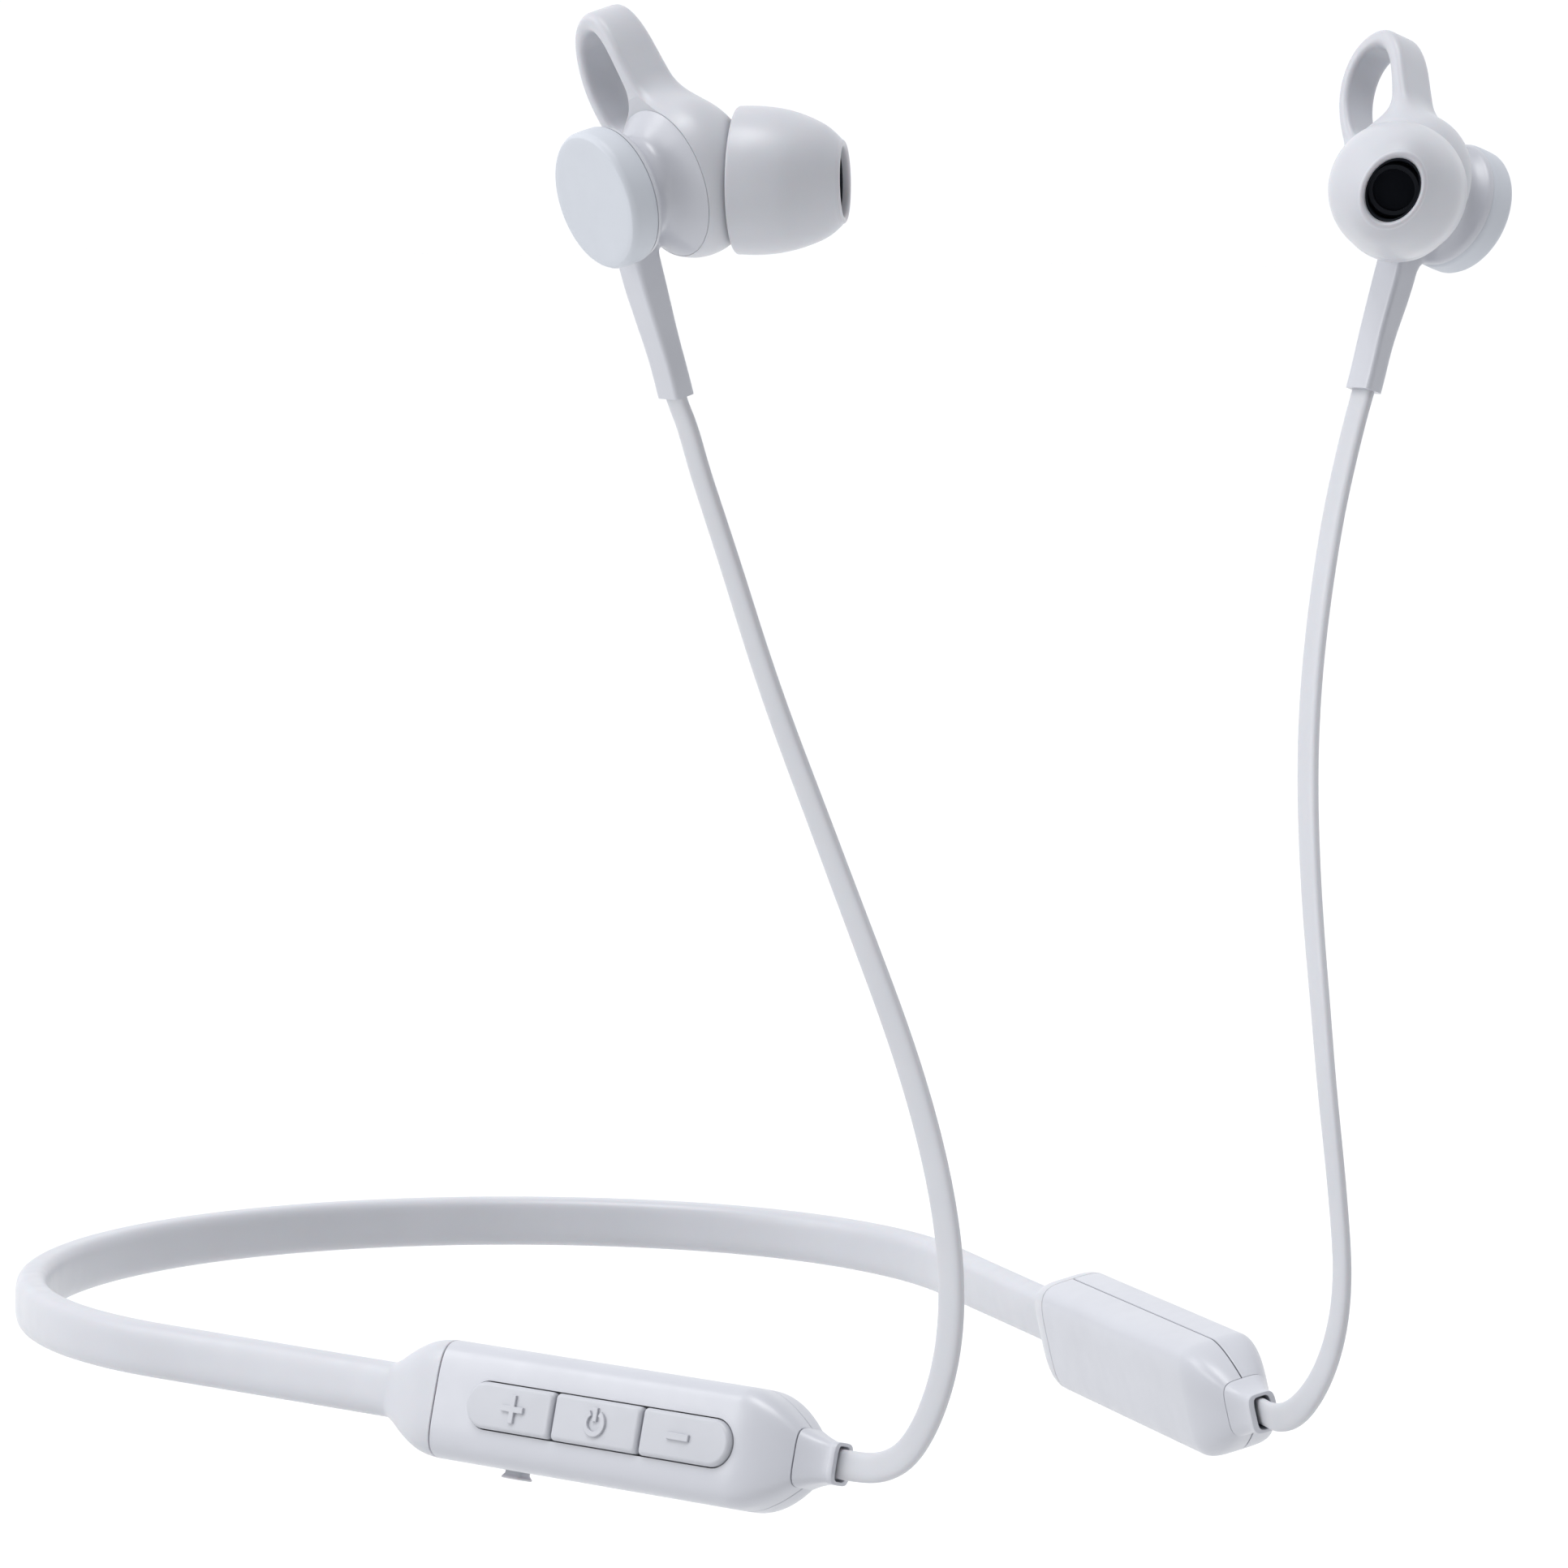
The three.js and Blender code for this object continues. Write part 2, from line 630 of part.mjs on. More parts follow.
/** The fine grille across the mouth of the nozzle. */
function nozzleMesh() {
  const radius = NOZZLE_BORE - GAP;
  return nozzleBar(radius, NOZZLE_LENGTH - 0.7, NOZZLE_LENGTH - 0.3, 12);
}

/** The wing's strap: outer and inner outlines in the y-z plane, in the earbud's own frame. */
function wingStrap() {
  const outline = new THREE.Shape(new THREE.SplineCurve([
    new THREE.Vector2(0.6, 6.2),
    new THREE.Vector2(-0.5, 8.3),
    new THREE.Vector2(-2.2, 11.0),
    new THREE.Vector2(-4.0, 13.3),
    new THREE.Vector2(-6.5, 14.8),
    new THREE.Vector2(-8.9, 13.5),
    new THREE.Vector2(-10.3, 10.6),
    new THREE.Vector2(-9.9, 6.9),
    new THREE.Vector2(-7.6, 2.6),
    new THREE.Vector2(-5.8, 0.8),
    new THREE.Vector2(-4.6, 2.6),
    new THREE.Vector2(-2.4, 4.8),
    new THREE.Vector2(0.6, 6.2),
  ]).getSpacedPoints(26).slice(0, -1));
  const hole = new THREE.SplineCurve([
    new THREE.Vector2(-2.4, 7.9),
    new THREE.Vector2(-3.4, 10.3),
    new THREE.Vector2(-4.7, 12.4),
    new THREE.Vector2(-6.5, 13.5),
    new THREE.Vector2(-8.2, 12.5),
    new THREE.Vector2(-9.2, 10.2),
    new THREE.Vector2(-8.8, 7.0),
    new THREE.Vector2(-7.6, 4.4),
    new THREE.Vector2(-6.2, 4.6),
    new THREE.Vector2(-4.2, 6.3),
    new THREE.Vector2(-2.4, 7.9),
  ]).getSpacedPoints(18).slice(0, -1);
  outline.holes.push(new THREE.Path(hole));
  const geometry = new THREE.ExtrudeGeometry(outline, { depth: WING_WIDTH, bevelEnabled: false });
  return reshape(geometry, (point) => {
    point.set(SLEEVE_START + point.z, point.x, point.y);
  });
}

/** The silicone sleeve over the bulge with the ear wing on top of it. */
function wingSleeve() {
  const front = block([SLEEVE_START, -20, -20], [40, 20, 20]);
  const skin = common(bulgeForm(0, 20, 12), front);
  const strap = common(wingStrap(), front);
  const core = bulgeForm(SLEEVE_WALL, 16, 10);
  const hole = nozzleBar(4.1, 2, 12, 16);
  const rearHole = turnedSolid([[0, 5], [5.9, 5], [5.9, 10], [0, 10]], 16);
  rearHole.translate(0, BULGE_CENTRE.y, BULGE_CENTRE.z);
  return cut(join(skin, strap), core, hole, rearHole);
}

/** The ear tip: a soft umbrella on a core that slides over the nozzle. */
function earTip() {
  const core = NOZZLE_RADIUS + GAP;
  const mouth = TIP_OFFSET + TIP_LENGTH;
  const shade = [
    [TIP_RADIUS - 0.15, 0],
    [TIP_RADIUS, 0.6],
    [TIP_RADIUS - 0.05, 2.2],
    [TIP_RADIUS - 0.35, 4.4],
    [TIP_RADIUS - 0.95, 6.6],
    [TIP_RADIUS - 1.85, 8.6],
    [TIP_RADIUS - 2.6, 9.8],
  ];
  const outside = shade.map(([radius, x]) => [radius, x + TIP_OFFSET]);
  const inside = shade.slice(0, 5).reverse().map(([radius, x]) => [radius - TIP_WALL, x + TIP_OFFSET]);
  return alongNozzle(turned([
    ...outside,
    [TIP_RADIUS - 3.1, mouth],
    [core, mouth - 0.2],
    [core, TIP_OFFSET + 2.8],
    [core + 0.8, TIP_OFFSET + 2.8],
    [core + 0.8, TIP_OFFSET + 7.3],
    ...inside,
  ], 20));
}

function makeBud(side) {
  const frame = placedGroup(side, budMatrix());
  const magnetRadius = CAP_RADIUS - 1.2;
  const magnet = turnedSolid([[0, 1.2], [magnetRadius, 1.2], [magnetRadius, CAP_DEPTH], [0, CAP_DEPTH]], 20);
  addPiece(frame, `${side}_cap`, 'disc', cap());
  addPiece(frame, `${side}_magnet`, 'magnet', magnet);
  addPiece(frame, `${side}_rear_housing`, 'plastic', rearHousing());
  addPiece(frame, `${side}_front_housing`, 'plastic', frontHousing());
  addPiece(frame, `${side}_driver`, 'steel', driver());
  addPiece(frame, `${side}_nozzle_mesh`, 'black', nozzleMesh());
  addPiece(frame, `${side}_stem`, 'silicone', stemBar(STEM.bottom, STEM.top, 0));
  addPiece(frame, `${side}_wing_sleeve`, 'silicone', wingSleeve());
  addPiece(frame, `${side}_ear_tip`, 'silicone', earTip());
}

// ---------------------------------------------------------------- the cables

/** A curve that keeps a flat section's broad side turned as it should be along the way. */
class FlatCableCurve extends THREE.CatmullRomCurve3 {
  constructor(points, startNormal, endNormal) {
    super(points, false, 'centripetal');
    this.startNormal = startNormal;
    this.endNormal = endNormal;
  }

  computeFrenetFrames(segments) {
    const tangents = [];
    const normals = [];
    const binormals = [];
    for (let i = 0; i <= segments; i += 1) {
      const tangent = this.getTangentAt(i / segments);
      const wanted = this.startNormal.clone().lerp(this.endNormal, i / segments);
      const normal = wanted.addScaledVector(tangent, -wanted.dot(tangent)).normalize();
      tangents.push(tangent);
      normals.push(normal);
      binormals.push(new THREE.Vector3().crossVectors(tangent, normal));
    }
    return { tangents, normals, binormals };
  }
}

function makeCable(side) {
  const pod = podMatrix();
  const bud = budMatrix();
  const collarEnd = POD_LENGTH + GAP + COLLAR_LENGTH;
  const start = new THREE.Vector3(collarEnd + GAP, 0, 0).applyMatrix4(pod);
  const end = new THREE.Vector3(STEM.along, STEM.across, STEM.bottom - GAP).applyMatrix4(bud);
  const route = [start, ...CABLE_ROUTE.map((point) => new THREE.Vector3(...point)), end];
  const outward = new THREE.Vector3(0, 1, 0).transformDirection(pod);
  const curve = new FlatCableCurve(route, outward, BUD_INWARD.clone().negate());
  const section = squircle(3, 8);
  const outline = section.getPoints().map(
    (point) => new THREE.Vector2((point.x * CABLE_THICKNESS) / 2, (point.y * CABLE_WIDTH) / 2),
  );
  const options = { steps: 34, extrudePath: curve, bevelEnabled: false };
  const tube = new THREE.ExtrudeGeometry(new THREE.Shape(outline), options);
  addPiece(sides[side], `${side}_cable`, 'cable', tube);
}

// ---------------------------------------------------------------- the whole

makeBand();
for (const side of Object.keys(sides)) {
  makeArm(side);
  makeBud(side);
  makeCable(side);
}
makeControlPod('right');
makeBatteryPod('left');

export default group;
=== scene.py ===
# Neckband earphones standing as worn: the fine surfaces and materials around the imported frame.
# Local shapes are in millimetres, each in the frame of its pod, band or earbud on the wearer's
# left, and go into the row frame in metres. The right side is the left one mirrored in X.

import json
import math

import bmesh
import bpy
import numpy as np
from mathutils import Matrix, Vector


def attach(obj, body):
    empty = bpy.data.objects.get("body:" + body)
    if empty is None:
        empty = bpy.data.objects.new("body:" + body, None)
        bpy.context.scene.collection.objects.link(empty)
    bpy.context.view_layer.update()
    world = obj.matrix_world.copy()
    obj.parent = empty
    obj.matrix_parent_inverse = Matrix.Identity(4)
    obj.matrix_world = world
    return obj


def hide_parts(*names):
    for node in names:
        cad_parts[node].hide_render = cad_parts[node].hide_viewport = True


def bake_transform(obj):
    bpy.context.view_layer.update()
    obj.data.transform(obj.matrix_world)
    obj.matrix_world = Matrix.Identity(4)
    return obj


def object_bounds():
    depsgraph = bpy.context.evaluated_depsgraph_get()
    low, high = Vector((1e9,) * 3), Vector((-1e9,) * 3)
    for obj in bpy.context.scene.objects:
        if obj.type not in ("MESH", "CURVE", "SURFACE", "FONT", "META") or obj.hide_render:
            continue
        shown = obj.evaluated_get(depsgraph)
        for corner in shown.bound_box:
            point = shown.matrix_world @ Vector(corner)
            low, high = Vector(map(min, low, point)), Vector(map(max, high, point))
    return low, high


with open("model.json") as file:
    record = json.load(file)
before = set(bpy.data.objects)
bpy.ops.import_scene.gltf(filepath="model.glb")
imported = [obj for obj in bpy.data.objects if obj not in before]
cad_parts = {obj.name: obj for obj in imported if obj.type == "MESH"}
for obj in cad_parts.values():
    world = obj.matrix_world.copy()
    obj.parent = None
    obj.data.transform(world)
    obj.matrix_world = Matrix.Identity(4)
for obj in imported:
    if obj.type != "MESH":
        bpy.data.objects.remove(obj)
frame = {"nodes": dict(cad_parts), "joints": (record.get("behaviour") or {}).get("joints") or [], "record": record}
CAD_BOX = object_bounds()
RECORD = frame["record"]
JOINTS = {joint["name"]: joint for joint in frame["joints"]}
MOUNTS = {mount["name"]: mount for mount in RECORD["mounts"]}

MM = 0.001
SIDES = ("left", "right")

# ---------------------------- driving dimensions, millimetres

SEAM = 0.12
EDGE = 0.07

BAND_HEIGHT = 5.4
BAND_THICKNESS = 3.4
BAND_BACK_RADIUS = 53.0
BAND_BACK_ANGLE = math.radians(51.5)
BAND_SIDE_RADIUS = 44.0
BAND_SIDE_ANGLE = math.radians(54.7)
BAND_STRAIGHT = 39.8
BAND_SQUARENESS = 3.4
FLARE_LENGTH = 8.5
WIRE_SIZE = 1.2

POD_LENGTH = 42.5
POD_HEIGHT = 11.5
POD_WIDTH = 8.35
POD_SQUARENESS = 4.6
POD_ROLL = math.radians(14)
POD_WALL = 1.0
POD_TAPER = 6.1
COLLAR_LENGTH = 3.7
COLLAR_START = (4.6, 5.6)
COLLAR_END = (2.9, 4.0)
COLLAR_SLOT = (1.7, 3.3)

KEY_STRIP_LENGTH = 32.2
KEY_STRIP_HEIGHT = 4.5
KEY_STRIP_CENTRE = 20.6
KEY_RISE = 0.6
KEY_DEPTH = 1.9
KEY_ROUNDING = 0.42
SYMBOL_RISE = 0.26
SYMBOL_SHIFT = 0.6

PORT_ALONG = 10.4
PORT_ACROSS = -1.45
PORT_LENGTH = 10.0
PORT_WIDTH = 3.2

CABLE_WIDTH = 2.8
CABLE_THICKNESS = 1.0

CAP_RADIUS = 6.3
CAP_DEPTH = 2.7
BULGE_RADIUS = 7.45
BULGE_HALF_DEPTH = 5.6
BULGE_LIFT = 0.42
BULGE_SHIFT = -0.2
SLEEVE_START = 7.2
SLEEVE_WALL = 0.8
TURN_ROOM = 0.8
HOLE_RADIUS = 2.75
HOLE_START = 2.4
SKIN_GAP = 0.03
NOZZLE_RADIUS = 2.6
NOZZLE_LENGTH = 12.6
TIP_OFFSET = 4.55
TIP_LENGTH = 9.75
TIP_RADIUS = 6.65
MOUTH_TILT = 14.0
STEM_ALONG = 5.0
STEM_ACROSS = -2.5
STEM_BOTTOM = -19.8
STEM_WIDTH = 3.4
STEM_THICKNESS = 2.05

# The left cable's route from the pod's collar to the earbud's stem, ends left out, in metres.
CABLE_ROUTE = [
    (0.0246, -0.1427, 0.0),
    (0.0241, -0.1451, 0.00035),
    (0.0237, -0.1478, 0.0016),
    (0.02355, -0.1503, 0.0040),
    (0.02345, -0.1524, 0.0074),
    (0.0233, -0.1538, 0.0114),
    (0.02315, -0.1543, 0.0158),
    (0.02305, -0.1539, 0.0206),
    (0.0232, -0.1528, 0.0260),
    (0.0237, -0.1510, 0.0322),
    (0.0248, -0.1484, 0.0398),
    (0.0262, -0.1455, 0.0472),
    (0.0277, -0.1428, 0.0542),
    (0.0293, -0.1404, 0.0610),
    (0.0311, -0.1383, 0.0678),
    (0.0330, -0.1367, 0.0746),
    (0.03495, -0.13555, 0.0814),
    (0.0369, -0.1347, 0.0876),
    (0.0386, -0.13425, 0.0926),
    (0.03985, -0.13405, 0.0962),
]

# ---------------------------- camera

CAMERA_PLACE = (-0.38213, -0.62868, 0.11818)
CAMERA_YAW = 0.949661
CAMERA_DOWN = 0.0911104
CAMERA_ROLL = 0.0154289
CAMERA_LENS = 152.46


def make_camera():
    """A long lens in front of the wearer's right shoulder, a little above the band."""
    ahead = Vector((
        math.cos(CAMERA_YAW) * math.cos(CAMERA_DOWN),
        math.sin(CAMERA_YAW) * math.cos(CAMERA_DOWN),
        -math.sin(CAMERA_DOWN),
    ))
    level = ahead.cross(Vector((0, 0, 1))).normalized()
    rise = level.cross(ahead)
    right = level * math.cos(CAMERA_ROLL) + rise * math.sin(CAMERA_ROLL)
    up = rise * math.cos(CAMERA_ROLL) - level * math.sin(CAMERA_ROLL)
    camera = bpy.data.objects.new("camera", bpy.data.cameras.new("camera"))
    camera.data.lens = CAMERA_LENS
    camera.data.sensor_width = 36
    camera.data.clip_start = 0.05
    camera.data.clip_end = 20
    camera.matrix_world = Matrix((
        (right.x, up.x, -ahead.x, CAMERA_PLACE[0]),
        (right.y, up.y, -ahead.y, CAMERA_PLACE[1]),
        (right.z, up.z, -ahead.z, CAMERA_PLACE[2]),
        (0, 0, 0, 1),
    ))
    bpy.context.scene.collection.objects.link(camera)
    bpy.context.scene.camera = camera


make_camera()

# ---------------------------- places


def unit(vector):
    vector = np.asarray(vector, float)
    return vector / np.linalg.norm(vector)


def smoothstep(value, low=0.0, high=1.0):
    part = np.clip((value - low) / (high - low), 0, 1)
    return part * part * (3 - 2 * part)


class Place:
    """A local frame in millimetres on the wearer's left: an origin in metres and three axes."""

    def __init__(self, origin, along, across, up):
        self.origin = np.asarray(origin, float)
        self.axes = np.array([along, across, up], float)

    def out(self, points, side="left"):
        """Local millimetres to the row frame in metres, mirrored for the right side."""
        moved = np.asarray(points, float) @ self.axes * MM + self.origin
        if side == "right":
            moved = moved * (-1, 1, 1)
        return moved


ROW = Place((0, 0, 0), (1, 0, 0), (0, 1, 0), (0, 0, 1))

BACK_ARC = BAND_BACK_RADIUS * BAND_BACK_ANGLE
SIDE_ARC = BAND_SIDE_RADIUS * BAND_SIDE_ANGLE
BAND_LENGTH = BACK_ARC + SIDE_ARC + BAND_STRAIGHT
POD_HEADING = BAND_BACK_ANGLE + BAND_SIDE_ANGLE


def band_at(s):
    """The band's centreline on the left at lengths s from the nape: x, y, heading and roll."""
    first = np.minimum(s, BACK_ARC) / BAND_BACK_RADIUS
    second = np.clip(s - BACK_ARC, 0, SIDE_ARC) / BAND_SIDE_RADIUS
    straight = np.maximum(s - BACK_ARC - SIDE_ARC, 0)
    heading = first + second
    x = (
        BAND_BACK_RADIUS * np.sin(first)
        + BAND_SIDE_RADIUS * (np.sin(heading) - np.sin(first))
        + straight * np.cos(heading)
    )
    y = (
        BAND_THICKNESS / 2
        - BAND_BACK_RADIUS * (1 - np.cos(first))
        - BAND_SIDE_RADIUS * (np.cos(first) - np.cos(heading))
        - straight * np.sin(heading)
    )
    roll = POD_ROLL * smoothstep(s, BACK_ARC + SIDE_ARC / 2, BAND_LENGTH - FLARE_LENGTH)
    return x, y, heading, roll


def along_band(points):
    """Points of (length along the band, outwards, up) to millimetres in the row frame."""
    x, y, heading, roll = band_at(points[..., 0])
    out = points[..., 1] * np.cos(roll) - points[..., 2] * np.sin(roll)
    rise = points[..., 1] * np.sin(roll) + points[..., 2] * np.cos(roll)
    return np.stack([x + out * np.sin(heading), y + out * np.cos(heading), rise], -1)


def pod_place():
    """A pod's frame: origin at the seam with the band, x along the pod, y outwards."""
    x, y, heading, roll = (float(value) for value in band_at(np.array(BAND_LENGTH)))
    along = np.array((math.cos(heading), -math.sin(heading), 0))
    outward = np.array((math.sin(heading), math.cos(heading), 0))
    up = np.array((0, 0, math.cos(roll))) - outward * math.sin(roll)
    return Place((x * MM, y * MM, 0), along, np.cross(up, along), up)


def bud_place():
    """An earbud's frame: origin at the cap's face, x to the head, y forwards, z up the stem."""
    inward = unit(JOINTS["left_wing_turn"]["axis"])
    up = np.asarray(JOINTS["left_bud_twist"]["axis"], float)
    up = unit(up - inward * up.dot(inward))
    return Place(MOUNTS["left_cap_face"]["pos_m"], inward, np.cross(up, inward), up)


POD = pod_place()
BUD = bud_place()
BULGE = (np.array(JOINTS["left_wing_turn"]["pos_m"]) - BUD.origin) @ BUD.axes.T / MM
NOZZLE = unit(BUD.axes @ np.array(JOINTS["left_tip_pull"]["axis"]))

# ---------------------------- meshes


def piece(name, points, faces, material, place=ROW, side="left", sharp=38):
    """A named mesh from local points and faces, smooth except at edges sharper than an angle."""
    mesh = bpy.data.meshes.new(name)
    if side == "right":
        faces = [tuple(reversed(face)) for face in faces]
    mesh.from_pydata(place.out(points, side).tolist(), [], [tuple(face) for face in faces])
    finish_mesh(mesh, sharp)
    mesh.materials.append(material)
    made = bpy.data.objects.new(name, mesh)
    bpy.context.scene.collection.objects.link(made)
    return made


def finish_mesh(mesh, sharp):
    """Consistent faces, smooth shading and sharp edges above an angle."""
    work = bmesh.new()
    work.from_mesh(mesh)
    bmesh.ops.recalc_face_normals(work, faces=work.faces)
    work.to_mesh(mesh)
    work.free()
    mesh.polygons.foreach_set("use_smooth", [True] * len(mesh.polygons))
    mesh.set_sharp_from_angle(angle=math.radians(sharp))


def strip_faces(rows, columns, wrap):
    """Quads of a grid of points, joined from its last column to its first where it wraps."""
    row = np.arange(rows - 1)[:, None]
    column = np.arange(columns if wrap else columns - 1)[None, :]
    after = (column + 1) % columns
    corners = [row * columns + column, row * columns + after,
               (row + 1) * columns + after, (row + 1) * columns + column]
    return np.stack([corner.ravel() for corner in corners], -1).tolist()


def tube(rings):
    """A closed bar through rings of points, its ends filled."""
    rows, columns = rings.shape[:2]
    faces = strip_faces(rows, columns, True)
    faces.append(list(range(columns))[::-1])
    faces.append(list(range((rows - 1) * columns, rows * columns)))
    return rings.reshape(-1, 3), faces


def ring_surface(rings):
    """A surface closed both ways through rings of points, like a hose's."""
    rows, columns = rings.shape[:2]
    faces = strip_faces(rows + 1, columns, True)
    faces = [[index % (rows * columns) for index in face] for face in faces]
    return rings.reshape(-1, 3), faces


def at_x(x, across, rise):
    """A ring of points at one x."""
    return np.stack([np.full(len(across), x), across, rise], -1)


def at_y(outline, y):
    """An outline of (x, z) pairs as a ring of points at one y."""
    return np.stack([outline[:, 0], np.full(len(outline), y), outline[:, 1]], -1)


def stand_in(made, body, slot, *nodes):
    """Has a piece ride on a body and stand for CAD nodes, which it hides. The slot is not used."""
    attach(made, body)
    if nodes:
        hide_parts(*nodes)


def merged(*solids):
    """Several point and face lists as one."""
    points, faces, offset = [], [], 0
    for solid_points, solid_faces in solids:
        points.append(np.asarray(solid_points, float))
        faces += [[index + offset for index in face] for face in solid_faces]
        offset += len(solid_points)
    return np.concatenate(points), faces


def squircle(squareness, count, start=0.0, stop=2 * math.pi):
    """Points of a rounded outline with half extents of 1, as (across, up)."""
    closed = stop - start >= 2 * math.pi - 1e-9
    angle = np.linspace(start, stop, count, endpoint=not closed)
    cos, sin = np.cos(angle), np.sin(angle)
    size = (np.abs(cos) ** squareness + np.abs(sin) ** squareness) ** (-1 / squareness)
    return np.stack([cos * size, sin * size], -1)


def loft(stations, count):
    """Rounded rings along x through stations of (x, width, height, squareness)."""
    return np.array([
        at_x(x, *(squircle(squareness, count) * (width / 2, height / 2)).T)
        for x, width, height, squareness in stations
    ])


def turned(profile, count):
    """A ring turned about x from (radius, x) pairs, its last pair joined to the first."""
    angle = np.linspace(0, 2 * math.pi, count, endpoint=False)
    return ring_surface(np.array([
        at_x(x, radius * np.cos(angle), radius * np.sin(angle)) for radius, x in profile
    ]))


def arc(centre, radius, start, stop, count):
    """Points of an arc in a profile, angles in degrees."""
    angle = np.radians(np.linspace(start, stop, count))
    return [(centre[0] + radius * math.cos(a), centre[1] + radius * math.sin(a)) for a in angle]


def stadium(length, height, count=24):
    """The outline of a round-ended strip about the origin, as (along, up) pairs."""
    radius = height / 2
    reach = length / 2 - radius
    angle = np.linspace(-math.pi / 2, math.pi / 2, count)
    right = np.stack([reach + radius * np.cos(angle), radius * np.sin(angle)], -1)
    return np.concatenate([right, -right])


def prism(outline, low, high, axes):
    """A straight solid from an outline; axes gives where its two directions and its depth go."""
    count = len(outline)
    points = np.zeros((2 * count, 3))
    for half, depth in enumerate((low, high)):
        rows = slice(half * count, (half + 1) * count)
        points[rows, axes[0]] = outline[:, 0]
        points[rows, axes[1]] = outline[:, 1]
        points[rows, axes[2]] = depth
    return tube(points.reshape(2, count, 3))


def cut_away(target, cutter):
    """Cuts one object's solid out of another's, and removes the cutter."""
    modifier = target.modifiers.new("cut", "BOOLEAN")
    modifier.operation = "DIFFERENCE"
    modifier.solver = "EXACT"
    modifier.object = cutter
    graph = bpy.context.evaluated_depsgraph_get()
    changed = bpy.data.meshes.new_from_object(target.evaluated_get(graph))
    target.modifiers.clear()
    target.data = changed
    bpy.data.objects.remove(cutter)


# ---------------------------- smooth bodies from distances


def smooth_union(first, second, blend):
    """The distance to two solids joined with a fillet of about the blend's size."""
    part = np.clip(0.5 + 0.5 * (second - first) / blend, 0, 1)
    return second * (1 - part) + first * part - blend * part * (1 - part)


def smooth_cut(first, second, blend):
    """The first solid without the second, with a rounded edge."""
    return -smooth_union(-first, second, blend)


def rounded_section(first, second, half_first, half_second, radius):
    """The distance to a rounded rectangle from two offsets off its centre."""
    a = np.abs(first) - half_first + radius
    b = np.abs(second) - half_second + radius
    outside = np.hypot(np.maximum(a, 0), np.maximum(b, 0))
    return outside + np.minimum(np.maximum(a, b), 0) - radius


def surface_of(field, low, high, cell):
    """Quads over the zero level of a field of distances, by surface nets, then evened out."""
    low, high = np.array(low, float), np.array(high, float)
    counts = np.ceil((high - low) / cell).astype(int) + 1
    axes = [low[k] + cell * np.arange(counts[k]) for k in range(3)]
    grid = np.stack(np.meshgrid(*axes, indexing="ij"), -1).reshape(-1, 3)
    value = field(grid).reshape(counts)
    cells = counts - 1
    total = np.zeros((int(np.prod(cells)), 3))
    hits = np.zeros(int(np.prod(cells)))
    quads = []
    for axis in range(3):
        near, far = np.delete(value, -1, axis), np.delete(value, 0, axis)
        index = np.argwhere((near < 0) != (far < 0))
        before, after = near[tuple(index.T)], far[tuple(index.T)]
        place = index.astype(float)
        place[:, axis] += before / (before - after)
        u, v = (axis + 1) % 3, (axis + 2) % 3
        corners = []
        for step_u, step_v in ((0, 0), (1, 0), (1, 1), (0, 1)):
            cell_index = index.copy()
            cell_index[:, u] -= step_u
            cell_index[:, v] -= step_v
            flat = np.ravel_multi_index(cell_index.T, cells)
            for k in range(3):
                total[:, k] += np.bincount(flat, place[:, k], len(hits))
            hits += np.bincount(flat, minlength=len(hits))
            corners.append(flat)
        corners = np.stack(corners, -1)
        quads.append(np.where((before < 0)[:, None], corners[:, ::-1], corners))
    used = np.flatnonzero(hits)
    number = np.full(len(hits), -1)
    number[used] = np.arange(len(used))
    points = low + cell * total[used] / hits[used, None]
    faces = number[np.concatenate(quads)]
    return evened(field, points, faces, cell), faces.tolist()


def evened(field, points, faces, cell, rounds=4):
    """Spreads points evenly over the zero level: each moves to its neighbours' mean and back."""
    edges = np.concatenate([faces[:, [k, (k + 1) % 4]] for k in range(4)])
    count = np.bincount(edges[:, 0], minlength=len(points))[:, None]
    for _ in range(rounds):
        mean = np.stack([
            np.bincount(edges[:, 0], points[edges[:, 1], k], len(points)) for k in range(3)
        ], -1) / count
        points = 0.4 * points + 0.6 * mean
        for _ in range(2):
            slope = np.stack([
                field(points + step) - field(points - step) for step in np.eye(3) * cell * 0.2
            ], -1) / (cell * 0.4)
            size = np.maximum((slope ** 2).sum(-1, keepdims=True), 0.2)
            shift = field(points)[:, None] * slope / size
            points = points - np.clip(shift, -cell, cell)
    return points


def sliced(points, faces, plane, normal):
    """A closed solid cut by a plane, the side that the normal points to taken off and filled."""
    work = bmesh.new()
    corners = [work.verts.new(point) for point in points]
    for face in faces:
        work.faces.new([corners[index] for index in face])
    everything = work.verts[:] + work.edges[:] + work.faces[:]
    cut = bmesh.ops.bisect_plane(
        work, geom=everything, plane_co=plane, plane_no=normal, clear_outer=True)
    rim = [item for item in cut["geom_cut"] if isinstance(item, bmesh.types.BMEdge)]
    bmesh.ops.triangle_fill(work, use_beauty=True, edges=rim)
    work.verts.index_update()
    left = np.array([corner.co[:] for corner in work.verts])
    kept = [[corner.index for corner in face.verts] for face in work.faces]
    work.free()
    return left, kept


# ---------------------------- materials


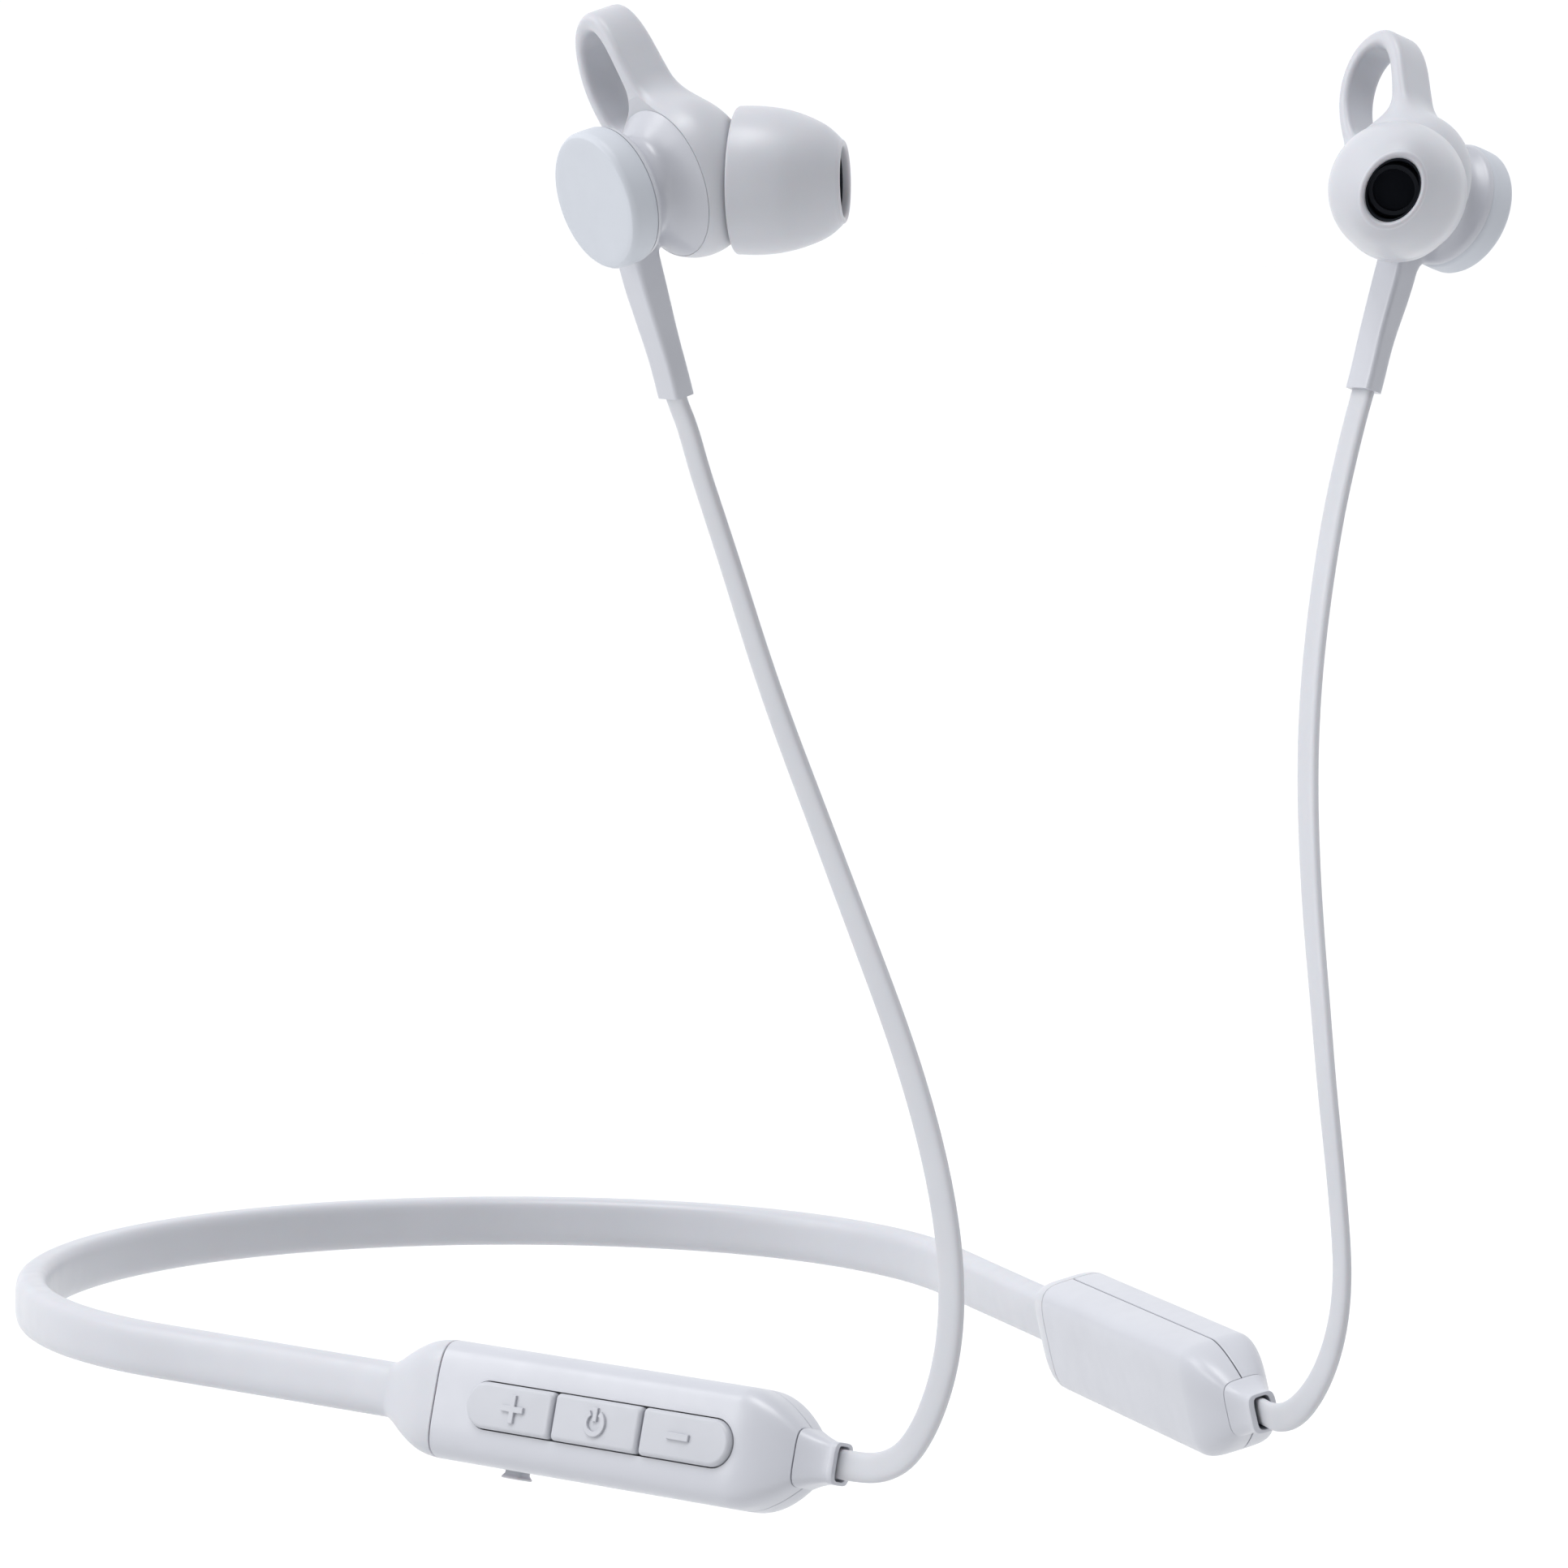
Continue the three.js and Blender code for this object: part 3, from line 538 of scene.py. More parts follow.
class Paint:
    """A material's nodes, laid out by short calls."""

    def __init__(self, name):
        self.material = bpy.data.materials.new(name)
        self.material.use_nodes = True
        self.tree = self.material.node_tree
        self.shader = self.tree.nodes["Principled BSDF"]
        self.place = self.tree.nodes.new("ShaderNodeTexCoord").outputs["Object"]

    def noise(self, scale, detail=2.0, roughness=0.5):
        """Noise with features of about 1 / scale metres."""
        node = self.tree.nodes.new("ShaderNodeTexNoise")
        node.inputs["Scale"].default_value = scale
        node.inputs["Detail"].default_value = detail
        node.inputs["Roughness"].default_value = roughness
        self.tree.links.new(self.place, node.inputs["Vector"])
        return node.outputs["Fac"]

    def spread(self, source, low, high):
        """The middle of a noise's range stretched to run from low to high."""
        node = self.tree.nodes.new("ShaderNodeMapRange")
        ramp = {"From Min": 0.3, "From Max": 0.7, "To Min": low, "To Max": high}
        for name, value in ramp.items():
            node.inputs[name].default_value = value
        self.tree.links.new(source, node.inputs["Value"])
        return node.outputs["Result"]

    def mix(self, source, first, second):
        """A colour between two, by a factor from 0 to 1."""
        node = self.tree.nodes.new("ShaderNodeMix")
        node.data_type = "RGBA"
        node.inputs["A"].default_value = (*first, 1)
        node.inputs["B"].default_value = (*second, 1)
        self.tree.links.new(source, node.inputs["Factor"])
        return node.outputs["Result"]

    def bump(self, source, height):
        """A bump of a real height in metres."""
        node = self.tree.nodes.new("ShaderNodeBump")
        node.inputs["Strength"].default_value = 1.0
        node.inputs["Distance"].default_value = height
        self.tree.links.new(source, node.inputs["Height"])
        self.tree.links.new(node.outputs["Normal"], self.shader.inputs["Normal"])

    def to(self, name, source):
        """Links a source to one of the shader's sockets."""
        self.tree.links.new(source, self.shader.inputs[name])

    def set(self, **values):
        """Sets sockets of the shader by name, with underscores for spaces."""
        for name, value in values.items():
            self.shader.inputs[name.replace("_", " ")].default_value = value


def moulded(name, colour, roughness, grain, height, **extra):
    """A moulded plastic or silicone: faint drift in colour and gloss, and a fine spark grain."""
    paint = Paint(name)
    darker = tuple(channel * 0.965 for channel in colour)
    drift = paint.spread(paint.noise(90, 3), 0, 1)
    paint.to("Base Color", paint.mix(drift, darker, colour))
    paint.to("Roughness", paint.spread(paint.noise(420, 4), roughness - 0.05, roughness + 0.05))
    paint.bump(paint.noise(grain, 3, 0.65), height)
    paint.set(**extra)
    return paint.material


def metal(name, colour, roughness, stretch):
    """A drawn, plated or stamped metal."""
    paint = Paint(name)
    paint.set(Metallic=1.0)
    darker = tuple(channel * 0.8 for channel in colour)
    paint.to("Base Color", paint.mix(paint.spread(paint.noise(700, 3), 0, 1), darker, colour))
    paint.to("Roughness", paint.spread(paint.noise(stretch, 4), roughness - 0.08, roughness + 0.1))
    paint.bump(paint.noise(stretch * 3, 2), 4e-6)
    return paint.material


SILICONE = moulded("satin_silicone", (0.49, 0.50, 0.54), 0.37, 9000, 5e-6,
                   Subsurface_Weight=0.12, Subsurface_Scale=0.0012, Sheen_Weight=0.08)
PLASTIC = moulded("satin_plastic", (0.49, 0.50, 0.545), 0.34, 14000, 2.5e-6,
                  Coat_Weight=0.15, Coat_Roughness=0.22)
KEY_PLASTIC = moulded("key_plastic", (0.465, 0.475, 0.515), 0.4, 14000, 3e-6)
CAP_PLASTIC = moulded("cap_plastic", (0.50, 0.525, 0.575), 0.48, 16000, 3e-6)
JACKET = moulded("cable_jacket", (0.50, 0.51, 0.545), 0.42, 8000, 4e-6,
                 Subsurface_Weight=0.08, Subsurface_Scale=0.001)
SPRING = metal("spring_steel", (0.62, 0.63, 0.65), 0.3, 3000)
STEEL = metal("stamped_steel", (0.66, 0.67, 0.69), 0.32, 2500)
MAGNET = metal("plated_magnet", (0.55, 0.56, 0.58), 0.2, 1500)
BLACK = moulded("dark_mesh", (0.004, 0.005, 0.008), 0.8, 3500, 1e-5, Specular_IOR_Level=0.1)
# A near-black for painted shade deep inside the tip's mouth. On the liner in the tip's bore it is painted shade
# only. On the nozzle dome it is a dark moulding whose colour also paints that shade.
DARK_PAINTED_SHADE = moulded("dark_painted_shade", (0.007, 0.009, 0.014), 0.6, 9000, 4e-6, Specular_IOR_Level=0.2)
LAMINATE = moulded("circuit_laminate", (0.02, 0.12, 0.05), 0.3, 2500, 1.2e-5, Coat_Weight=0.5)
CELL = moulded("cell_foil", (0.42, 0.47, 0.52), 0.28, 1200, 3e-5, Metallic=0.7)

CAD_MATERIALS = {
    "spring_steel": SPRING,
    "plated_magnet": MAGNET,
    "stamped_steel": STEEL,
    "dark_mesh": BLACK,
    "circuit_laminate": LAMINATE,
    "cell_foil": CELL,
    "satin_silicone": SILICONE,
    "satin_plastic": PLASTIC,
    "key_plastic": KEY_PLASTIC,
    "cap_plastic": CAP_PLASTIC,
    "cable_jacket": JACKET,
}


def paint_cad_nodes():
    """Gives every CAD node the material of its slot in the record."""
    for part in RECORD["subparts"]:
        node = frame["nodes"][part["node"]]
        node.data.materials.clear()
        node.data.materials.append(CAD_MATERIALS[part["material_slot"]])


# ---------------------------- cables


def spline(points, count):
    """Evenly spaced points on the natural cubic spline through some points."""
    points = np.array(points, float)
    knots = np.concatenate([[0], np.cumsum(np.linalg.norm(np.diff(points, axis=0), axis=1))])
    step = np.diff(knots)
    size = len(points)
    system = np.eye(size)
    target = np.zeros_like(points)
    for i in range(1, size - 1):
        system[i, i - 1: i + 2] = step[i - 1], 2 * (step[i - 1] + step[i]), step[i]
        target[i] = 6 * (
            (points[i + 1] - points[i]) / step[i] - (points[i] - points[i - 1]) / step[i - 1])
    bend = np.linalg.solve(system, target)

    def at(t):
        i = np.clip(np.searchsorted(knots, t, "right") - 1, 0, size - 2)
        h = step[i][:, None]
        a = (knots[i + 1] - t)[:, None] / h
        b = 1 - a
        curve = a * points[i] + b * points[i + 1]
        return curve + ((a ** 3 - a) * bend[i] + (b ** 3 - b) * bend[i + 1]) * h * h / 6

    fine = at(np.linspace(0, knots[-1], 4000))
    length = np.concatenate([[0], np.cumsum(np.linalg.norm(np.diff(fine, axis=0), axis=1))])
    even = np.linspace(0, length[-1], count)
    return np.stack([np.interp(even, length, fine[:, k]) for k in range(points.shape[1])], -1)


def make_cable(side):
    """The flat cable from inside its collar's slot to inside its stem, its broad side turning."""
    collar_end = POD_LENGTH + COLLAR_LENGTH + 0.3
    inside_collar = POD.out([(collar_end - 2.0, 0, 0), (collar_end + 0.6, 0, 0)])
    inside_stem = BUD.out([(STEM_ALONG, STEM_ACROSS, STEM_BOTTOM - 0.3),
                           (STEM_ALONG, STEM_ACROSS, STEM_BOTTOM + 1.2)])
    path = spline([*inside_collar, *CABLE_ROUTE, *inside_stem], 220)
    tangent = np.gradient(path, axis=0)
    tangent /= np.linalg.norm(tangent, axis=1, keepdims=True)
    part = np.linspace(0, 1, len(path))[:, None]
    broad = (1 - part) * POD.axes[1] - part * BUD.axes[0]
    broad -= tangent * (broad * tangent).sum(1, keepdims=True)
    broad /= np.linalg.norm(broad, axis=1, keepdims=True)
    wide = np.cross(tangent, broad)
    outline = squircle(3.2, 28)
    rings = (
        path[:, None]
        + broad[:, None] * outline[None, :, :1] * CABLE_THICKNESS / 2 * MM
        + wide[:, None] * outline[None, :, 1:] * CABLE_WIDTH / 2 * MM
    )
    points, faces = tube(rings)
    cable = piece(f"{side}_flat_cable", points / MM, faces, JACKET, ROW, side)
    mirror = np.array((-1, 1, 1)) if side == "right" else np.ones(3)
    path = path * mirror
    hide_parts(f"{side}_cable")
    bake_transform(cable)


for side in SIDES:
    make_cable(side)

# ---------------------------- band


def flare(part):
    """How far the section has swollen from the band's to the pod's, 0 to 1."""
    return smoothstep(part ** 0.72)


def band_stations():
    """(length, width, height) down one half of the band, from the nape to the pod's seam."""
    flare_start = BAND_LENGTH - FLARE_LENGTH
    stations = [(s, BAND_THICKNESS, BAND_HEIGHT) for s in np.linspace(0, flare_start, 110)]
    for part in np.linspace(0, 1, 29)[1:]:
        swell = flare(part)
        stations.append((
            flare_start + (FLARE_LENGTH - SEAM / 2 - EDGE) * part,
            BAND_THICKNESS + (POD_WIDTH - BAND_THICKNESS) * swell,
            BAND_HEIGHT + (POD_HEIGHT - BAND_HEIGHT) * swell,
        ))
    stations.append((BAND_LENGTH - SEAM / 2, POD_WIDTH - 2 * EDGE, POD_HEIGHT - 2 * EDGE))
    return stations


def make_band(side):
    """One half of the one-piece band with its arm and flare."""
    sharpening = (POD_SQUARENESS - BAND_SQUARENESS) / (POD_HEIGHT - BAND_HEIGHT)
    stations = [
        (s, width, height, BAND_SQUARENESS + (height - BAND_HEIGHT) * sharpening)
        for s, width, height in band_stations()
    ]
    points, faces = tube(along_band(loft(stations, 56)))
    band = piece(f"{side}_neckband", points, faces, SILICONE, ROW, side)
    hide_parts("neckband_centre", f"{side}_arm_sleeve")
    stations = [(s, WIRE_SIZE, WIRE_SIZE, 2) for s in np.linspace(0, BAND_LENGTH - 1.5, 90)]
    points, faces = tube(along_band(loft(stations, 12)))
    wire = piece(f"{side}_spring_wire", points, faces, SPRING, ROW, side)
    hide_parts("memory_wire_centre", f"{side}_memory_wire")
    for part in (band, wire):
        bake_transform(part)


for side in SIDES:
    make_band(side)

# ---------------------------- pods


def pod_stations():
    """(x, width, height) from the band's seam to the collar, rounded into the front taper."""
    start = SEAM / 2
    stations = [(start, POD_WIDTH - 2 * EDGE, POD_HEIGHT - 2 * EDGE)]
    taper = POD_LENGTH - POD_TAPER
    stations += [(x, POD_WIDTH, POD_HEIGHT) for x in np.linspace(start + EDGE, taper, 42)]
    for part in np.linspace(0, 1, 33)[1:]:
        narrowing = part ** 1.7
        stations.append((
            taper + (POD_TAPER - SEAM / 2) * part,
            POD_WIDTH + (COLLAR_START[0] - POD_WIDTH) * narrowing,
            POD_HEIGHT + (COLLAR_START[1] - POD_HEIGHT) * narrowing,
        ))
    return stations


def half_shell(sign):
    """Half of a pod's case on one side of its parting plane: a wall with fine edges."""
    stations = pod_stations()
    outline = squircle(POD_SQUARENESS, 97, -math.pi / 2, math.pi / 2)
    rings = []
    for x, width, height in stations:
        outer = outline * (width / 2, height / 2)
        inner = outline[::-1] * (width / 2 - POD_WALL, height / 2 - POD_WALL)
        lift = np.array((SEAM / 2, 0))
        outer = np.maximum(outer, (SEAM / 2 + EDGE, -99))
        inner = np.maximum(inner, (SEAM / 2, -99))
        foot = outer[0] * (0, 1) + lift + (0, EDGE)
        head = outer[-1] * (0, 1) + lift - (0, EDGE)
        section = np.concatenate([[foot], outer, [head], inner])
        rings.append(at_x(x, sign * section[:, 0], section[:, 1]))
    rings = np.array(rings)
    rows, columns = rings.shape[:2]
    faces = strip_faces(rows, columns, True)
    outer_count = len(outline) + 2
    for base in (0, (rows - 1) * columns):
        for i in range(outer_count - 1):
            j = columns - 1 - min(i, len(outline) - 1)
            k = columns - 1 - min(i + 1, len(outline) - 1)
            face = [base + i, base + i + 1, base + k, base + j]
            faces.append(list(dict.fromkeys(face)))
    return rings.reshape(-1, 3), faces


def make_pod(name, side, keyed):
    """A pod's two shells and its collar. The keyed one has openings for keys and a port."""
    body = f"{side}_arm"
    for half, sign in (("outer", 1), ("inner", -1)):
        points, faces = half_shell(sign)
        shell = piece(f"{name}_{half}_case", points, faces, PLASTIC, POD, side)
        cutters = []
        if keyed and half == "outer":
            opening = stadium(KEY_STRIP_LENGTH + 2 * SEAM, KEY_STRIP_HEIGHT + 2 * SEAM)
            cutters.append(prism(opening + (KEY_STRIP_CENTRE, 0), 2, 8, (0, 2, 1)))
        if keyed:
            opening = stadium(PORT_LENGTH + 2 * SEAM, PORT_WIDTH + 2 * SEAM)
            cutters.append(prism(opening + (PORT_ALONG, PORT_ACROSS), -9, -2, (0, 1, 2)))
        for points, faces in cutters:
            cut_away(shell, piece("cutter", points, faces, PLASTIC, POD, side))
        shell.data.set_sharp_from_angle(angle=math.radians(38))
        stand_in(shell, body, "satin_plastic", f"{name}_{half}_shell")
    collar = piece(f"{name}_cable_collar", *collar_solid(), PLASTIC, POD, side)
    stand_in(collar, body, "satin_plastic", f"{name}_collar")


def collar_solid():
    """The tapered collar with its lip and the slot that the cable comes out of."""
    start = POD_LENGTH + SEAM / 2
    end = POD_LENGTH + COLLAR_LENGTH + 0.3
    reach = end - 0.75 - start
    rings = [(start, COLLAR_START[0] - 2 * EDGE, COLLAR_START[1] - 2 * EDGE, POD_SQUARENESS)]
    for part in np.linspace(0, 1, 16):
        curve = 1 - (1 - part) ** 1.5
        rings.append((
            start + EDGE + reach * part,
            COLLAR_START[0] + (COLLAR_END[0] - 0.12 - COLLAR_START[0]) * curve,
            COLLAR_START[1] + (COLLAR_END[1] - 0.16 - COLLAR_START[1]) * curve,
            POD_SQUARENESS,
        ))
    lip = end - 0.62
    rings += [
        (lip, COLLAR_END[0], COLLAR_END[1], POD_SQUARENESS),
        (end - 0.12, COLLAR_END[0], COLLAR_END[1], POD_SQUARENESS),
        (end - 0.03, COLLAR_END[0] - 0.07, COLLAR_END[1] - 0.07, POD_SQUARENESS),
        (end, COLLAR_END[0] - 0.2, COLLAR_END[1] - 0.2, POD_SQUARENESS),
        (end, COLLAR_SLOT[0] + 0.1, COLLAR_SLOT[1] + 0.1, 5),
        (end - 0.06, COLLAR_SLOT[0], COLLAR_SLOT[1], 5),
        (start + 0.4, COLLAR_SLOT[0], COLLAR_SLOT[1], 5),
        (start, COLLAR_SLOT[0], COLLAR_SLOT[1], 5),
    ]
    return ring_surface(loft(rings, 56))


make_pod("control_pod", "right", True)
make_pod("battery_pod", "left", False)

# ---------------------------- keys


def key_outline(number, inset=0.0):
    """A key's outline: a third of the round-ended strip, small corners next to another key."""
    pitch = KEY_STRIP_LENGTH / 3
    left = -KEY_STRIP_LENGTH / 2 + pitch * number
    right = left + pitch
    if number > 0:
        left += SEAM
    if number < 2:
        right -= SEAM
    half = KEY_STRIP_HEIGHT / 2 - inset
    corners = []
    for x, sign, rounded in ((right - inset, 1, number == 2), (left + inset, -1, number == 0)):
        size = half if rounded else 0.45
        for centre, start in ((half - size, 90), (size - half, 0)):
            sweep = np.radians(np.linspace(start, start - 90, 14))
            corners.append(np.stack([
                x + sign * size * (np.cos(sweep) - 1), centre + size * np.sin(sweep)], -1))
    upper_right, lower_right, upper_left, lower_left = corners
    return np.concatenate([upper_right, lower_right, lower_left[::-1], upper_left[::-1]])


def key_solid(number):
    """A key with straight sides and a rounded top edge."""
    top = POD_WIDTH / 2 + KEY_RISE
    levels = [(0.0, top - KEY_DEPTH), (0.0, top - KEY_ROUNDING)]
    for angle in np.linspace(0, math.pi / 2, 8)[1:]:
        levels.append((
            KEY_ROUNDING * (1 - math.cos(angle)), top - KEY_ROUNDING * (1 - math.sin(angle))))
    return tube(np.array([
        at_y(key_outline(number, inset) + (KEY_STRIP_CENTRE, 0), height)
        for inset, height in levels
    ]))


def raised(corners, centre, base, rise):
    """A small raised shape on a key, its top drawn in all round, from its outline's corners."""
    corners = np.array(corners)
    return tube(np.array([
        at_y(corners - np.sign(corners) * inset + centre, height)
        for inset, height in ((0, base - 0.1), (0, base + rise - 0.05), (0.05, base + rise))
    ]))


def bar(centre, along, up, base, rise):
    """A raised bar."""
    a, b = along / 2, up / 2
    return raised([(a, b), (a, -b), (-a, -b), (-a, b)], centre, base, rise)


def plus_sign(centre, size, width, base, rise):
    """A raised plus sign."""
    a, b = size / 2, width / 2
    corners = [(b, a), (b, b), (a, b), (a, -b), (b, -b), (b, -a),
               (-b, -a), (-b, -b), (-a, -b), (-a, b), (-b, b), (-b, a)]
    return raised(corners, centre, base, rise)


def power_sign(centre, radius, width, base, rise):
    """A raised ring, open at its top, around the foot of an upright bar."""
    gap = math.radians(32)
    angle = np.linspace(math.pi / 2 + gap, 2.5 * math.pi - gap, 40)
    section = np.array([
        (-1, -0.1), (-1, rise - 0.05), (-0.8, rise), (0.8, rise), (1, rise - 0.05), (1, -0.1)])
    rings = []
    for a in angle:
        reach = radius + section[:, 0] * width / 2
        rings.append(np.stack([
            centre[0] + reach * math.cos(a),
            base + section[:, 1],
            centre[1] + reach * math.sin(a)], -1))
    upright = bar((centre[0], centre[1] + radius * 0.75), width, radius * 1.25, base, rise)
    return merged(tube(np.array(rings)), upright)


def make_keys():
    """The three keys, each with its raised symbol."""
    top = POD_WIDTH / 2 + KEY_RISE
    pitch = KEY_STRIP_LENGTH / 3
    centres = [
        (KEY_STRIP_CENTRE + step * (pitch - SYMBOL_SHIFT), 0) for step in (-1, 0, 1)]
    symbols = [
        plus_sign(centres[0], 2.7, 0.58, top, SYMBOL_RISE),
        power_sign(centres[1], 1.05, 0.52, top, SYMBOL_RISE),
        bar(centres[2], 2.6, 0.66, top, SYMBOL_RISE),
    ]
    names = ("volume_up", "power", "volume_down")
    for number, name in enumerate(names):
        made = piece(f"{name}_keycap", *key_solid(number), KEY_PLASTIC, POD, "right", 50)
        sign = piece(f"{name}_symbol", *symbols[number], KEY_PLASTIC, POD, "right", 30)
        stand_in(made, f"{name}_button", "key_plastic", f"{name}_key")
        stand_in(sign, f"{name}_button", "key_plastic")


make_keys()

# ---------------------------- port cover


def pod_bottom(y, inset):
    """The height of the pod's lower face at an offset y from its middle plane, raised by an inset."""
    share = np.abs(y) / (POD_WIDTH / 2)
    return -POD_HEIGHT / 2 * (1 - share ** POD_SQUARENESS) ** (1 / POD_SQUARENESS) + inset


def make_port_cover():
    """The rubber cover that follows the case's lower face, with a pull tab at its rear end."""
    edge = 0.06
    levels = [(0.0, 0.85), (0.0, edge), (edge, 0.0)]
    levels += [(inset, 0.0) for inset in np.linspace(0.3, PORT_WIDTH / 2 - 0.05, 7)]
    rings = []
    for inset, depth in levels:
        outline = stadium(PORT_LENGTH - 2 * inset, PORT_WIDTH - 2 * inset, 20)
        outline = outline + (PORT_ALONG, PORT_ACROSS)
        rings.append(np.stack([
            outline[:, 0], outline[:, 1], pod_bottom(outline[:, 1], depth)], -1))
    cover = tube(np.array(rings))
    made = piece("port_cover_skin", *merged(cover, pull_tab()), SILICONE, POD, "right", 45)
    stand_in(made, "charging_cover", "satin_silicone", "port_cover")


def pull_tab():
    """The small lip under the cover's rear end that a nail catches."""
    start = PORT_ALONG - PORT_LENGTH / 2 + 0.4
    centre = start + 1.4
    rings = []
    for depth, length, width in (
        (-0.3, 2.2, 1.8), (0.25, 2.2, 1.8), (0.45, 2.5, 2.0), (0.62, 2.8, 2.2), (0.74, 2.75, 2.15),
        (0.8, 2.5, 1.9),
    ):
        outline = squircle(4, 32) * (length / 2, width / 2)
        rings.append(np.stack([
            centre + outline[:, 0], PORT_ACROSS + outline[:, 1],
            np.full(32, -POD_HEIGHT / 2 - depth)], -1))
    return tube(np.array(rings))


make_port_cover()

# ---------------------------- earbuds


def make_cap(side):
    """The flat magnetic cap: a disc with a fine chamfer and a softly crowned rim."""
    rim = CAP_RADIUS
    profile = [(0.001, 0.0)]
    profile += [(r, 0.0) for r in np.linspace(0.8, rim - 0.42, 9)]
    profile += [(rim - 0.34, 0.03), (rim - 0.16, 0.2), (rim - 0.07, 0.36)]
    profile += [(rim + 0.02 * math.sin(math.pi * t), 0.5 + t * 1.8) for t in np.linspace(0, 1, 8)]
    profile += [(rim - 0.06, 2.5), (rim - 0.2, CAP_DEPTH), (rim - 0.9, CAP_DEPTH),
                (rim - 0.9, 0.9), (0.001, 0.9)]
    made = piece(f"{side}_cap_disc", *turned(profile, 128), CAP_PLASTIC, BUD, side, 30)
    stand_in(made, f"{side}_bud", "cap_plastic", f"{side}_cap")


# The rear housing's outline along its axis: x and radius.
HOUSING_PROFILE = [
    (2.4, 6.12), (2.82, 6.14), (3.15, 6.02), (3.5, 5.58), (3.95, 5.0), (4.5, 4.56), (5.1, 4.46),
    (5.7, 4.85), (6.3, 5.62), (6.8, 6.3), (7.2, 6.77), (8.0, 7.2), (9.0, 7.4), (9.8, 7.42),
]


def housing_radius(x):
    """The rear housing's radius at x, through the points of its profile."""
    fine = spline(HOUSING_PROFILE, 200)
    return np.interp(x, fine[:, 0], fine[:, 1])


def lean(x):
    """How far the housing's axis has moved towards the bulge's at x, as (y, z)."""
    part = smoothstep(x, CAP_DEPTH + 0.6, SLEEVE_START)
    return BULGE[1] * part, (BULGE[2] + BULGE_LIFT) * part + 0.9 * part * (1 - part)


def housing_field(points):
    """The rear housing with its waist, and the stem that grows out of its underside."""
    x, y, z = points.T
    shift_y, shift_z = lean(x)
    radius = housing_radius(x)
    stations = np.linspace(2, 11, 400)
    slope = np.gradient(housing_radius(stations), stations[1] - stations[0])
    tilt = np.sqrt(1 + np.interp(x, stations, slope) ** 2)
    body = (np.hypot(y - shift_y, z - shift_z) - radius) / tilt
    body = np.maximum(body, np.maximum(2.0 - x, x - 9.6))
    spread = 0.28 * smoothstep(z, -17.0, -7.5)
    stem = rounded_section(
        x - STEM_ALONG + spread, y - STEM_ACROSS + 0.18 * smoothstep(z, -19, -13),
        STEM_THICKNESS / 2 + spread,
        STEM_WIDTH / 2 + 0.4 * spread - 1.1 * smoothstep(z, -5.5, -1.0), 0.4)
    ends = np.maximum(STEM_BOTTOM - 1 - z, z + 1.0)
    return smooth_union(body, np.maximum(stem, ends), 1.2)


def make_housing(side):
    """The rear housing and its stem as one moulding, cut flat at the cap and at the cable."""
    points, faces = surface_of(housing_field, (1.4, -8.2, -21.6), (10.6, 9.2, 8.6), 0.22)
    points, faces = sliced(points, faces, (CAP_DEPTH + SKIN_GAP, 0, 0), (-1, 0, 0))
    points, faces = sliced(points, faces, (SLEEVE_START - SKIN_GAP, 0, 0), (1, 0, 0))
    points, faces = sliced(points, faces, (0, 0, STEM_BOTTOM), (0, 0, -1))
    made = piece(f"{side}_housing_and_stem", points, faces, PLASTIC, BUD, side, 42)
    stand_in(made, f"{side}_bud", "satin_plastic", f"{side}_rear_housing", f"{side}_stem")


# The wing's middle line from its front root over the top to its rear root: y, z, middle in x,
# width in x and thickness.
STRAP_LINE = [
    (-0.1, 4.6, 9.4, 4.2, 2.7),
    (-0.6, 6.4, 9.35, 4.3, 2.4),
    (-1.3, 8.1, 9.35, 4.4, 2.1),
    (-2.55, 10.7, 9.35, 4.4, 1.7),
    (-4.0, 13.0, 9.4, 4.2, 1.75),
    (-6.1, 14.25, 9.45, 4.0, 1.8),
    (-8.2, 13.3, 9.5, 4.0, 1.5),
    (-9.4, 10.6, 9.55, 4.0, 1.3),
    (-9.1, 7.5, 9.5, 4.0, 1.3),
    (-8.0, 5.2, 9.45, 4.0, 1.4),
    (-6.6, 3.3, 9.4, 4.0, 1.6),
    (-4.9, 1.8, 9.4, 4.0, 1.8),
]


def strap_field(points):
    """The wing: a ribbon that loops up and back from the top of the sleeve."""
    line = spline(STRAP_LINE, 90)
    best = np.full(len(points), 1e9)
    found = np.zeros(len(points), int)
    for i in range(len(line)):
        distance = (points[:, 1] - line[i, 0]) ** 2 + (points[:, 2] - line[i, 1]) ** 2
        closer = distance < best
        best[closer] = distance[closer]
        found[closer] = i
    nearest = np.clip(found, 1, len(line) - 2)
    start, stop = line[nearest - 1], line[nearest + 1]
    run = stop[:, :2] - start[:, :2]
    offset = points[:, 1:] - start[:, :2]
    share = np.clip((offset * run).sum(1) / (run ** 2).sum(1), 0, 1)
    foot = start + (stop - start) * share[:, None]
    away = np.hypot(points[:, 1] - foot[:, 0], points[:, 2] - foot[:, 1])
    radius = np.minimum(0.75, foot[:, 4] * 0.42)
    return rounded_section(away, points[:, 0] - foot[:, 2], foot[:, 4] / 2, foot[:, 3] / 2, radius)


def bulge_field(points, inset=0.0):
    """A ball flattened along x, a little fuller than an ellipsoid."""
    power = 2.05
    away = points - BULGE - (BULGE_SHIFT, 0, BULGE_LIFT)
    across = np.hypot(away[:, 1], away[:, 2]) / (BULGE_RADIUS - inset)
    along = np.abs(away[:, 0]) / (BULGE_HALF_DEPTH - inset)
    reach = (across ** power + along ** power) ** (1 / power)
    size = np.linalg.norm(away, axis=1)
    return size - size / np.maximum(reach, 1e-6)


